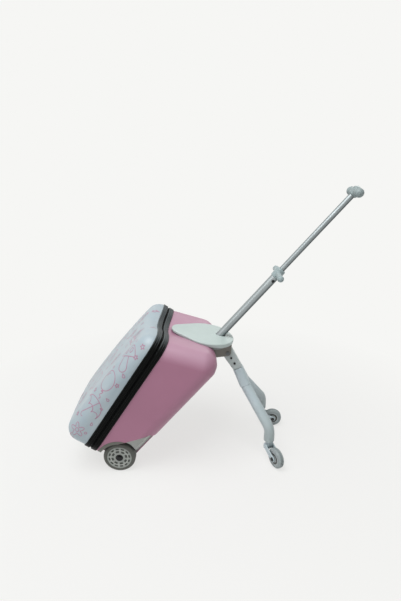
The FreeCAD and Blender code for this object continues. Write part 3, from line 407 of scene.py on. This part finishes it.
seat_white = moulded("seat_white", SEAT_WHITE, 0.42, 700.0, 0.06)
body_white = moulded("body_white", BODY_WHITE, 0.38)
leg_white = moulded("leg_white", BODY_WHITE, 0.38)
# Painted shade down the legs' lower part
leg_white.low_down(LEG_LOW_SHADE, LEG_SHADE_TOP, LEG_SHADE_BOTTOM)
grip_grey = moulded("grip_grey", GRIP_GREY, 0.42)
handle_grey = moulded("handle_grey", HANDLE_GREY, 0.46)
grey_plastic = moulded("grey_plastic", GREY, 0.45)
seat_base_grey = moulded("seat_base_grey", srgb(150, 156, 156), 0.55)
housing_grey = moulded("housing_grey", srgb(178, 182, 177), 0.5, 600.0, 0.08)
# The bracket's own grey-brown, darkened further with painted shade for its place under the seat
bracket_shaded_grey = moulded("bracket_shaded_grey", srgb(132, 130, 122), 0.5)
bolt_grey = moulded("bolt_grey", srgb(112, 117, 117), 0.4)
bush_black = moulded("bush_black", srgb(30, 31, 32), 0.5)
button_black = moulded("button_black", srgb(18, 19, 20), 0.35)

MAST_UP = Vector(joints["mast_lower_slide"]["axis"])
MAST_LEAN = math.atan2(MAST_UP.x, MAST_UP.z)
# Painted shade: the tubes darken on the side that faces down
MAST_UNDER = (MAST_UP.z, 0.0, -MAST_UP.x)
UNDERSIDE_SHADE = srgb(70, 76, 78)
SEAT_RIM = 5.2 * MM
RIM_EDGE = 0.4 * MM
RIM_BLACK = srgb(14, 15, 16)


def drawn_metal(name, color, roughness, seat=None):
    """Anodised tube: fine draw lines along the mast, painted shade on the side that faces down, and a dark
    rim round a button's seat.
    """
    finish = Finish(name, color, roughness, 1.0)
    finish.mottle(22.0, 0.93, 1.05)
    finish.facing(MAST_UNDER, UNDERSIDE_SHADE, 0.85, 0.05, 0.55)
    lines = finish.noise(420.0, 2.0, 0.5, finish.stretched((1.0, 1.0, 0.012), (0, -MAST_LEAN, 0)))
    finish.feed(finish.shader.inputs["Roughness"], finish.spread(lines, roughness - 0.05, roughness + 0.07))
    finish.relief(lines, 0.01, 0.0001)
    if seat:
        away = finish.make("ShaderNodeVectorMath", {"operation": "DISTANCE"}, Vector=finish.place)
        finish.feed(away.inputs[1], seat)
        rim = finish.spread(away.outputs["Value"], 1.0, 0.0, SEAT_RIM - RIM_EDGE, SEAT_RIM)
        finish.tinted(rim, RIM_BLACK)
    return finish


button_points = [vertex.co for vertex in nodes["snap_button"].data.vertices]
button_tip = min(button_points, key=lambda point: point.y)
tube_metal = drawn_metal("tube_metal", srgb(146, 153, 155), 0.44)
lower_metal = drawn_metal("lower_metal", srgb(160, 167, 169), 0.36, button_tip)
inner_metal = drawn_metal("inner_metal", srgb(150, 154, 156), 0.42)

black_steel = Finish("black_steel", srgb(30, 31, 32), 0.4, 0.6)
black_steel.mottle(150.0, 0.8, 1.3).gloss(200.0, 0.32, 0.5)
black_steel.relief(black_steel.noise(1200.0), 0.1, 0.0001)

tyre_grey = moulded("tyre_grey", srgb(86, 88, 82), 0.5, 1400.0, 0.1)
caster_tyre = moulded("caster_tyre", srgb(152, 162, 163), 0.5, 1400.0, 0.1)
wheel_face = moulded("wheel_face", srgb(160, 165, 160), 0.4)
caster_face = moulded("caster_face", srgb(178, 186, 187), 0.42)
# Painted shade: dark floors and walls for the hubs' sunk slots
slot_shade = moulded("slot_shade", srgb(66, 69, 65), 0.6)
guard_grey = moulded("guard_grey", srgb(104, 105, 98), 0.5)
rib_light = moulded("rib_light", srgb(186, 190, 184), 0.4)
hub_black = moulded("hub_black", srgb(22, 23, 22), 0.4)


# Shells, with a fabric lining on their inner faces
def line_inside(node_name, cavity_middle, outside):
    """Gives the faces that look towards the cavity's middle the lining's finish."""
    paint(node_name, outside.material, lining.material)
    for face in nodes[node_name].data.polygons:
        face.material_index = int(face.normal.dot(cavity_middle - face.center) > 0)


line_inside("rear_shell", CASE @ Vector((70 * MM, 0, CASE_HEIGHT * 0.5)), pink_shell)
line_inside("front_shell", CASE @ Vector((-45 * MM, 0, CASE_HEIGHT * 0.45)), white_shell)
paint("hinge_tape", lining.material)

# Belt: ribbed strips, piping along their edges, and zipper teeth in the groove
PIPING_RADIUS = 0.9 * MM
PIPING_POINTS = 260
PIPING_DEPTHS = (5.2 * MM, 10.9 * MM, 16.6 * MM)
TOOTH_PITCH = 2.6 * MM
TOOTH_SIZE = Vector((2.1 * MM, 1.3 * MM, 1.3 * MM))
TOOTH_BEVEL = 0.3 * MM
ZIPPER_DEPTH = 1.45 * MM
CASE_DEPTH = (CASE.to_3x3() @ Vector((1, 0, 0))).normalized()


def piping(name, body, loop):
    """A round bead along a closed line."""
    line = bpy.data.curves.new(name, "CURVE")
    line.dimensions = "3D"
    line.bevel_depth = PIPING_RADIUS
    line.bevel_resolution = 3
    spline = line.splines.new("POLY")
    points = spaced(loop, PIPING_POINTS)
    spline.points.add(len(points) - 1)
    for point, place in zip(spline.points, points):
        point.co = (*place, 1.0)
    spline.use_cyclic_u = True
    curve = bpy.data.objects.new(name + "_line", line)
    bpy.context.scene.collection.objects.link(curve)
    dress(evaluated_mesh(curve, name), body, "black_trim", belt_piping.material)


def teeth(name, body, node_name, sign):
    """Half a zipper's teeth on their tape, set between the other half's."""
    loop = outline(node_name, ZIPPER_DEPTH * sign)
    count = int(length_of(loop) / TOOTH_PITCH)
    places = spaced(loop, count * 2)[(0 if sign > 0 else 1)::2]
    middle = sum(places, Vector()) / len(places)
    bm = bmesh.new()
    for index, place in enumerate(places):
        ahead = (places[(index + 1) % count] - places[index - 1]).normalized()
        out = ahead.cross(CASE_DEPTH).normalized()
        if out.dot(place - middle) < 0:
            out = -out
        turn = Matrix((CASE_DEPTH, ahead, out)).transposed().to_4x4()
        spot = Matrix.Translation(place + out * TOOTH_SIZE.z * 0.4 - CASE_DEPTH * sign * 0.4 * MM) @ turn
        bmesh.ops.create_cube(bm, size=1.0, matrix=spot @ Matrix.Diagonal((*TOOTH_SIZE, 1.0)))
    edges = list(bm.edges)
    bmesh.ops.bevel(
        bm, geom=edges, offset=TOOTH_BEVEL, segments=1, profile=0.5, affect="EDGES", clamp_overlap=True
    )
    dress(mesh_object(name, bm, 40), body, "zipper", zipper_teeth.material)


for half, body, sign in (("front", "lid", -1), ("rear", "case", 1)):
    paint(f"{half}_trim", belt_rubber.material)
    paint(f"{half}_zipper", zipper_tape.material)
    for number, depth in enumerate(PIPING_DEPTHS, 1):
        piping(f"{half}_piping_{number}", body, outline(f"{half}_trim", depth * sign))
    teeth(f"{half}_zipper_teeth", body, f"{half}_zipper", sign)


# Print on the lid: thin line drawings of everyday things, each about 1 unit high
def circle(x, y, radius, start=0, end=360, steps=28):
    """A circle of a drawing, or a part of it."""
    return arc((x, y), radius, start, end, steps)


def star():
    corners = [(0.5 if n % 2 == 0 else 0.21, math.radians(90 + 36 * n)) for n in range(11)]
    return [[(r * math.cos(a), r * math.sin(a)) for r, a in corners]]


def cloud():
    puffs = circle(-0.28, -0.05, 0.2, 260, 80, 14) + circle(0.0, 0.1, 0.28, 150, 25, 14)
    puffs += circle(0.32, -0.06, 0.19, 100, -90, 14)
    return [puffs + [puffs[0]]]


def kite():
    frame_line = [(0, 0.5), (0.3, 0.12), (0, -0.28), (-0.3, 0.12), (0, 0.5)]
    tail = [(0.05 * math.sin(n * 1.1), -0.28 - 0.022 * n) for n in range(14)]
    return [frame_line, [(0, 0.5), (0, -0.28)], [(-0.3, 0.12), (0.3, 0.12)], tail]


def umbrella():
    top = circle(0, 0, 0.44, 180, 0, 20)
    hems = []
    for n in range(3):
        hems += circle(0.293 - 0.293 * n, 0, 0.1465, 0, 180, 8)
    stick = [(0, 0.44), (0, -0.34)] + circle(0.08, -0.34, 0.08, 180, 340, 8)
    return [top, hems, stick]


def balloon():
    turns = [n * math.pi / 14 for n in range(29)]
    skin = [(0.3 * math.sin(a), 0.14 + 0.36 * math.cos(a)) for a in turns]
    knot = [(0, -0.22), (-0.05, -0.28), (0.05, -0.28), (0, -0.22)]
    string = [(0.04 * math.sin(n * 0.9), -0.27 - 0.024 * n) for n in range(12)]
    return [skin, knot, string, circle(0.0, 0.2, 0.2, 110, 170, 6)]


def flower():
    waves = [(n * math.pi / 30, 0.2 + 0.08 * math.cos(n * math.pi / 6)) for n in range(61)]
    petals = [(r * math.cos(a), 0.2 + r * math.sin(a)) for a, r in waves]
    leaf = circle(0.14, -0.34, 0.15, 200, 70, 8) + circle(0.0, -0.16, 0.17, -20, -85, 8)
    return [petals, circle(0, 0.2, 0.07, steps=12), [(0, -0.07), (0.0, -0.5)], leaf]


def sailboat():
    hull = [(-0.4, -0.2), (0.4, -0.2), (0.25, -0.38), (-0.28, -0.38), (-0.4, -0.2)]
    sail = [(0.03, -0.14), (0.36, -0.14), (0.03, 0.46), (0.03, -0.14)]
    jib = [(-0.04, -0.14), (-0.3, -0.14), (-0.04, 0.3), (-0.04, -0.14)]
    wave = [(-0.45 + 0.05 * n, -0.47 + 0.02 * math.sin(n * 1.3)) for n in range(19)]
    return [hull, sail, jib, wave]


def mushroom():
    cap = circle(0, 0.02, 0.42, 180, 0, 20) + [(-0.42, 0.02)]
    stem = [(-0.14, 0.02), (-0.17, -0.36)] + circle(0, -0.36, 0.17, 180, 360, 8) + [(0.14, 0.02)]
    return [cap, stem, circle(-0.16, 0.18, 0.07, steps=10), circle(0.13, 0.24, 0.09, steps=10)]


def leaf():
    edge = circle(-0.3, 0.0, 0.58, -42, 42, 14) + circle(0.56, 0.0, 0.58, 138, 222, 14)
    veins = [[(0.13, -0.5), (0.13, 0.3)], [(0.13, -0.1), (0.2, 0.05)], [(0.13, -0.1), (0.06, 0.05)]]
    return [edge, *veins]


def moon():
    return [circle(0, 0, 0.42, 50, 310, 24) + circle(0.2, 0, 0.35, 290, 70, 18)]


def ring():
    return [circle(0, 0, 0.32, steps=16)]


def raindrop():
    return [circle(0, -0.12, 0.24, 150, 390, 16) + [(0, 0.42), (-0.208, 0.0)]]


MOTIFS = (umbrella, star, cloud, sailboat, flower, kite, moon, mushroom, balloon, leaf)
FILLERS = (ring, raindrop, star)
LINE_WIDTH = 1.9 * MM
INK_LIFT = 0.22 * MM
PRINT_ROWS = 4
PRINT_SEED = 77
WRAP_RADIUS = 58 * MM
WRAP_DEPTH = 36 * MM
PRINT_MARGIN = 2 * MM
lid_tree = BVHTree.FromObject(nodes["front_shell"], bpy.context.evaluated_depsgraph_get())


def lid_spot(height, across, swing):
    """A place on the lid's outside: across it, or round its side edges by an angle from the front."""
    side = math.copysign(1.0, across)
    inner = CASE @ Vector((-WRAP_DEPTH, across, height))
    angle = math.radians(swing)
    outward = CASE.to_3x3() @ Vector((-math.cos(angle), side * math.sin(angle), 0))
    hit, normal, _, _ = lid_tree.ray_cast(inner + outward * 0.3, -outward)
    if hit is None or normal.dot(outward) < 0.25 or (CASE_INVERSE @ hit).x > -HALF_BELT - PRINT_MARGIN:
        return None
    return hit + normal * INK_LIFT, normal


def draw(bm, shape, height, across, swing, size, turn):
    """Lays a drawing's lines on the lid as thin bands, wrapped round its side edges where it swings."""
    side = math.copysign(1.0, across)
    spin = Matrix.Rotation(math.radians(turn), 2)
    for line in shape():
        band = []
        for x, y in finely(line, 0.04):
            flat = spin @ Vector((x, y)) * size
            if swing:
                spot = lid_spot(height + flat.y, across, swing - side * math.degrees(flat.x / WRAP_RADIUS))
            else:
                spot = lid_spot(height + flat.y, across - flat.x, 0)
            if spot:
                band.append(spot)
                continue
            lay_band(bm, band)
            band = []
        lay_band(bm, band)


def finely(line, step):
    """A line with extra points on its long runs."""
    points = [line[0]]
    for a, b in zip(line, line[1:]):
        parts = max(1, math.ceil(math.dist(a, b) / step))
        for n in range(1, parts + 1):
            points.append((a[0] + (b[0] - a[0]) * n / parts, a[1] + (b[1] - a[1]) * n / parts))
    return points


def lay_band(bm, band):
    """A flat band along points on the lid, each with its normal."""
    if len(band) < 2:
        return
    edges = []
    for index, (point, normal) in enumerate(band):
        ahead = band[min(index + 1, len(band) - 1)][0] - band[max(index - 1, 0)][0]
        side = normal.cross(ahead).normalized() * LINE_WIDTH / 2
        edges.append((bm.verts.new(point - side), bm.verts.new(point + side)))
    for (a, b), (c, d) in zip(edges, edges[1:]):
        bm.faces.new((a, b, d, c))


dice = random.Random(PRINT_SEED)
deal = dice.sample(MOTIFS, len(MOTIFS)) + dice.sample(MOTIFS, len(MOTIFS))
print_mesh = bmesh.new()
columns = [(-112 * MM, 54), (-68 * MM, 0), (0, 0), (68 * MM, 0), (112 * MM, 54)]
edge_fillers = ((34, 56), (34, 20), (-26, 48))
front_fillers = ((0, 50),)
row_pitch = CASE_HEIGHT / (PRINT_ROWS + 0.5)
for row in range(PRINT_ROWS):
    for column, (across, swing) in enumerate(columns):
        height = (row + 0.45 + 0.42 * (column % 2)) * row_pitch + dice.uniform(-5, 5) * MM
        reach = dice.uniform(80, 90) if swing else dice.uniform(60, 70)
        motif = deal[row * len(columns) + column]
        draw(print_mesh, motif, height, across, swing, reach * MM, dice.uniform(-30, 30))
        for turn_beside, rise in edge_fillers if swing else front_fillers:
            filler = dice.choice(FILLERS)
            reach = dice.uniform(11, 17)
            turn = dice.uniform(0, 90)
            draw(print_mesh, filler, height + rise * MM, across, swing + turn_beside, reach * MM, turn)
dress(mesh_object("lid_print", print_mesh), "lid", "white_shell", ink.material)

# Seat with its mast collar as one moulding, on its base
seat_piece = softened("seat_moulding", ("seat", "mast_collar"), 1.3 * MM, 9)
SEAT_RISE = math.radians(20.6)
SEAT_UP = Vector((math.sin(SEAT_RISE), 0, math.cos(SEAT_RISE)))
SEAT_BACK = Vector((-math.cos(SEAT_RISE), 0, math.sin(SEAT_RISE)))
TAPER_LENGTH = 150 * MM
TAPER_SHARE = 0.42
tip_reach = max(SEAT_BACK.dot(vertex.co) for vertex in seat_piece.data.vertices)
seat_floor = min(
    SEAT_UP.dot(vertex.co)
    for vertex in seat_piece.data.vertices
    if SEAT_BACK.dot(vertex.co) > tip_reach - TAPER_LENGTH / 2
)
for vertex in seat_piece.data.vertices:
    share = max(0.0, 1 - (tip_reach - SEAT_BACK.dot(vertex.co)) / TAPER_LENGTH)
    height = SEAT_UP.dot(vertex.co) - seat_floor
    vertex.co -= SEAT_UP * max(0.0, height) * TAPER_SHARE * share
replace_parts(dress(seat_piece, "case", "seat_white", seat_white.material), "seat", "mast_collar")
paint("seat_base", seat_base_grey.material)

# Mast
paint("lower_tube", lower_metal.material)
paint("upper_tube", tube_metal.material)
paint("mast_guide_tube", inner_metal.material)
for name in ("mast_socket", "lower_bush", "upper_bush"):
    paint(name, bush_black.material)
paint("snap_button", button_black.material)
child_grip = softened("child_grip_moulding", ("child_grip",), 0.8 * MM, 10)
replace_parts(dress(child_grip, "mast_lower", "white_plastic", grip_grey.material), "child_grip")
pull_handle = softened("pull_handle_moulding", ("pull_handle",), 0.8 * MM, 8)
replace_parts(dress(pull_handle, "mast_upper", "white_plastic", handle_grey.material), "pull_handle")
paint("handle_button", grey_plastic.material)

# Front leg
leg_parts = (
    ("leg_arm", 0.8, 5, "grey_plastic", grey_plastic),
    ("leg_yoke", 0.9, 9, "white_plastic", leg_white),
    ("leg_left", 0.9, 6, "white_plastic", leg_white),
    ("leg_right", 0.9, 6, "white_plastic", leg_white),
)
for name, voxel, rounds, slot, finish in leg_parts:
    piece = softened(name + "_moulding", (name,), voxel * MM, rounds)
    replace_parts(dress(piece, "leg", slot, finish.material), name)
bracket = softened("leg_bracket_moulding", ("leg_bracket",), 0.8 * MM, 5)
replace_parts(dress(bracket, "case", "grey_plastic", bracket_shaded_grey.material), "leg_bracket")
for name in ("arm_screws", "bracket_screws", "seat_screws", "rear_axle_left", "rear_axle_right"):
    paint(name, black_steel.material)
paint("leg_pivot_bolt", bolt_grey.material)

# Wheels
REAR_WHEEL = {"radius": 48.5, "width": 28, "hub": 37, "bore": 4.1, "round": 7, "boss": 11.5}
CASTER_WHEEL = {"radius": 31, "width": 20, "hub": 21, "bore": 3.1, "round": 7, "boss": 7}
REAR_SLOTS = ((17.5, 24.5, 8, 0.62), (27.5, 33.0, 12, 0.62))
CASTER_SLOTS = ((11.5, 17.0, 1, 1.0),)
SEGMENTS = 120


def wheel_tyre(body, wheel, place, finish):
    """A tyre with rounded shoulders and two grooves round its tread."""
    half = wheel["width"] / 2
    edge = half - wheel["round"]
    inner = wheel["radius"] - wheel["round"]
    groove = edge * 0.45
    tread = []
    for middle in (-groove, groove):
        for sink, aside in ((0, -0.9), (0.9, -0.5), (0.9, 0.5), (0, 0.9)):
            tread.append((wheel["radius"] - sink, middle + aside))
    low = arc((inner, -edge), wheel["round"], -90, 0, 7)
    high = arc((inner, edge), wheel["round"], 0, 90, 7)
    profile = [(wheel["hub"], -half + 0.8), (wheel["hub"] + 1.2, -half)] + low + tread + high
    profile += [(wheel["hub"] + 1.2, half), (wheel["hub"], half - 0.8)]
    bm = bmesh.new()
    lathe(bm, [(r * MM, h * MM) for r, h in profile], place, SEGMENTS)
    thing = dress(mesh_object(body + "_tread", bm, 35), body, "wheel_tyre", finish.material)
    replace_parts(thing, body + "_tyre")


def wheel_hub(body, wheel, slots, place, face_finish):
    """A hub disc with rings of slots sunk into both faces, their floors and walls painted dark as shade, a
    light rib between them and a dark boss.
    """
    half = wheel["width"] / 2
    boss = wheel["boss"]
    radii = [wheel["bore"], boss - 1.0, boss, boss + 1.2, boss + 2.6]
    for low, high, _, _ in slots:
        radii += [low, high]
    radii += [wheel["hub"] - 1.6, wheel["hub"] - 0.6]
    lifts = {radii[0]: 0.0, radii[1]: 0.0, radii[2]: -0.8, radii[3]: -0.6, radii[4]: -1.2}
    outer = [(r, half + lifts.get(r, -1.2)) for r in radii]
    outer[-2:] = [(radii[-2], half - 1.2), (radii[-1], half - 0.4)]
    profile = [(wheel["bore"], -half)] + [(r, -h) for r, h in outer[1:]]
    profile += [(wheel["hub"] - 0.05, -half + 0.9), (wheel["hub"] - 0.05, half - 0.9)]
    profile += [(r, h) for r, h in reversed(outer)]
    bm = bmesh.new()
    lathe(bm, [(r * MM, h * MM) for r, h in profile], place, SEGMENTS)
    back = place.inverted()
    sunk = []
    for face in bm.faces:
        spot = back @ face.calc_center_median()
        radius = math.hypot(spot.x, spot.y) / MM
        if abs(spot.z) <= (half - 2) * MM:
            continue
        if radius < boss:
            face.material_index = 2
        if slots[0][1] < radius < slots[-1][0]:
            face.material_index = 3
        for low, high, count, share in slots:
            turn = math.degrees(math.atan2(spot.y, spot.x)) % 360 / (360 / count) % 1.0
            if low < radius < high and turn < share:
                face.material_index = 1
                sunk.append(face)
    # The sunk slots' walls also take the painted shade
    walls = bmesh.ops.inset_region(bm, faces=sunk, thickness=0.5 * MM, depth=-3.0 * MM)
    for face in walls["faces"]:
        face.material_index = 1
    thing = mesh_object(body + "_disc", bm, 30)
    layers = (face_finish, slot_shade, hub_black, rib_light)
    dress(thing, body, "wheel_hub", *(layer.material for layer in layers))
    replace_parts(thing, body + "_hub")


GUARD_RADIUS = 68
GUARD_DEPTH = 16
GUARD_RIM = 3
GUARD_LIFT = 0.5 * MM
RIM_LIFT = 1.6 * MM
shell_tree = BVHTree.FromObject(nodes["rear_shell"], bpy.context.evaluated_depsgraph_get())


def mudguard(side, centre):
    """A thin rim on the shell's side, round the edge of a rear wheel's well."""
    sign = -1 if side == "right" else 1
    inward = Vector((0, -sign, 0))
    bm = bmesh.new()
    grid = {}
    for turn in range(-30, 212, 2):
        angle = math.radians(turn)
        for ring in range(GUARD_DEPTH + 1):
            reach = (GUARD_RADIUS - ring) * MM
            across = Vector((reach * math.cos(angle), 0, reach * math.sin(angle)))
            start = Vector((centre.x, sign * 0.3, centre.z)) + across
            hit, normal, _, _ = shell_tree.ray_cast(start, inward)
            if hit is not None and normal.dot(inward) < -0.3 and abs(hit.y) > abs(centre.y):
                lift = RIM_LIFT if 0 < ring < GUARD_RIM else GUARD_LIFT
                grid[turn, ring] = bm.verts.new(hit - inward * lift)
    for turn, ring in grid:
        corners = [(turn, ring), (turn + 2, ring), (turn + 2, ring + 1), (turn, ring + 1)]
        if all(corner in grid for corner in corners):
            bm.faces.new([grid[corner] for corner in corners])
    loose = [vertex for vertex in bm.verts if not vertex.link_faces]
    bmesh.ops.delete(bm, geom=loose, context="VERTS")
    dress(mesh_object(f"mudguard_{side}", bm), "case", "grey_plastic", guard_grey.material)


def axle_caps(side, place):
    """Domed black caps over both ends of a caster's axle."""
    middle = place.inverted()
    reach = max(abs((middle @ vertex.co).z) for vertex in nodes[f"caster_axle_{side}"].data.vertices)
    dome = [(0.01, 1.5), (2.0, 1.4), (4.2, 1.0), (5.8, 0.2), (6.2, -0.8), (6.2, -1.2), (0.01, -1.2)]
    bm = bmesh.new()
    for sign in (-1, 1):
        lathe(bm, [(r * MM, sign * (reach + h * MM)) for r, h in dome], place, 40)
    dress(mesh_object(f"caster_caps_{side}", bm, 40), f"caster_{side}", "black_trim", button_black.material)


for side in SIDES:
    rear = joints[f"rear_wheel_{side}_roll"]
    outward = Vector((0, -1, 0)) if side == "right" else Vector((0, 1, 0))
    rear_place = along(outward, rear["pos_m"])
    mudguard(side, Vector(rear["pos_m"]))
    wheel_tyre(f"rear_wheel_{side}", REAR_WHEEL, rear_place, tyre_grey)
    wheel_hub(f"rear_wheel_{side}", REAR_WHEEL, REAR_SLOTS, rear_place, wheel_face)
    front = joints[f"front_wheel_{side}_roll"]
    front_place = along(Vector(front["axis"]) * -1, front["pos_m"])
    wheel_tyre(f"front_wheel_{side}", CASTER_WHEEL, front_place, caster_tyre)
    wheel_hub(f"front_wheel_{side}", CASTER_WHEEL, CASTER_SLOTS, front_place, caster_face)
    fork = softened(f"caster_fork_{side}_moulding", (f"caster_fork_{side}",), 0.6 * MM, 7)
    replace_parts(dress(fork, f"caster_{side}", "white_plastic", body_white.material), f"caster_fork_{side}")
    paint(f"caster_axle_{side}", button_black.material)
    axle_caps(side, front_place)
    housing = softened(f"wheel_housing_{side}_moulding", (f"wheel_housing_{side}",), 1.3 * MM, 5)
    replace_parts(dress(housing, "case", "grey_plastic", housing_grey.material), f"wheel_housing_{side}")

# Zipper sliders and pull tabs
for name in ("zipper_slider_lower", "zipper_slider_upper", "zipper_pull_lower", "zipper_pull_upper"):
    paint(name, black_steel.material)

# Floor, world, lamps and camera
FLOOR_SIZE = 8.0
FLOOR_WHITE = 0.86
BACKDROP = (*srgb(246, 246, 244), 1.0)
GLOW_NEAR = 0.74
FADE_START = 0.35
FADE_END = 1.1


def seen_rays(tree):
    """An output that is 1 for rays from the camera, in a mirror image or through glass."""
    paths = tree.nodes.new("ShaderNodeLightPath")
    value = paths.outputs["Is Camera Ray"]
    for kind in ("Is Glossy Ray", "Is Transmission Ray"):
        either = tree.nodes.new("ShaderNodeMath")
        either.operation = "MAXIMUM"
        tree.links.new(value, either.inputs[0])
        tree.links.new(paths.outputs[kind], either.inputs[1])
        value = either.outputs[0]
    return value


floor_mesh = bmesh.new()
bmesh.ops.create_grid(floor_mesh, x_segments=2, y_segments=2, size=FLOOR_SIZE)
floor = mesh_object("floor", floor_mesh)
floor.location.z = -0.2 * MM
floor_finish = Finish("floor", (FLOOR_WHITE, FLOOR_WHITE, FLOOR_WHITE), 0.9)
floor_finish.mottle(1.5, 0.985, 1.0)
in_view = seen_rays(floor_finish.tree)
glow = floor_finish.make("ShaderNodeEmission", Color=BACKDROP, Strength=1.0)
away = floor_finish.make("ShaderNodeVectorMath", {"operation": "LENGTH"}, Vector=floor_finish.place)
fade = floor_finish.spread(away.outputs["Value"], GLOW_NEAR, 1.0, FADE_START, FADE_END)
share = floor_finish.make("ShaderNodeMath", {"operation": "MULTIPLY"})
floor_finish.feed(share.inputs[0], in_view)
floor_finish.feed(share.inputs[1], fade)
mixer = floor_finish.make("ShaderNodeMixShader")
floor_finish.feed(mixer.inputs[0], share.outputs[0])
floor_finish.feed(mixer.inputs[1], floor_finish.shader.outputs[0])
floor_finish.feed(mixer.inputs[2], glow.outputs[0])
floor_finish.feed(floor_finish.tree.nodes["Material Output"].inputs["Surface"], mixer.outputs[0])
floor.data.materials.append(floor_finish.material)

WORLD_LIGHT = 0.29
scene = bpy.context.scene
world = bpy.data.worlds.new("studio")
scene.world = world
world.use_nodes = True
sky = world.node_tree
back = sky.nodes["Background"]
back.inputs["Color"].default_value = BACKDROP
level = sky.nodes.new("ShaderNodeMapRange")
level.inputs["To Min"].default_value = WORLD_LIGHT
level.inputs["To Max"].default_value = 1.0
sky.links.new(seen_rays(sky), level.inputs["Value"])
sky.links.new(level.outputs["Result"], back.inputs["Strength"])


def softbox(name, place, target, size, power):
    """A square soft lamp aimed at a point."""
    lamp = bpy.data.lights.new(name, "AREA")
    lamp.shape = "SQUARE"
    lamp.size = size
    lamp.energy = power
    thing = bpy.data.objects.new(name, lamp)
    thing.matrix_world = along(Vector(place) - Vector(target), place)
    scene.collection.objects.link(thing)


MIDDLE = (0.0, 0.0, 0.35)
softbox("key", (-0.6, -0.7, 2.7), MIDDLE, 1.8, 57)
softbox("fill", (-2.4, -1.6, 1.2), MIDDLE, 1.6, 8)
softbox("back_fill", (1.4, 2.4, 1.7), MIDDLE, 1.6, 9)

camera_data = bpy.data.cameras.new("camera")
camera_data.lens = CAMERA_LENS
camera = bpy.data.objects.new("camera", camera_data)
camera.location = CAMERA_PLACE
camera.rotation_euler = (CAMERA_PITCH, 0, 0)
scene.collection.objects.link(camera)
scene.camera = camera
scene.view_settings.view_transform = "Standard"
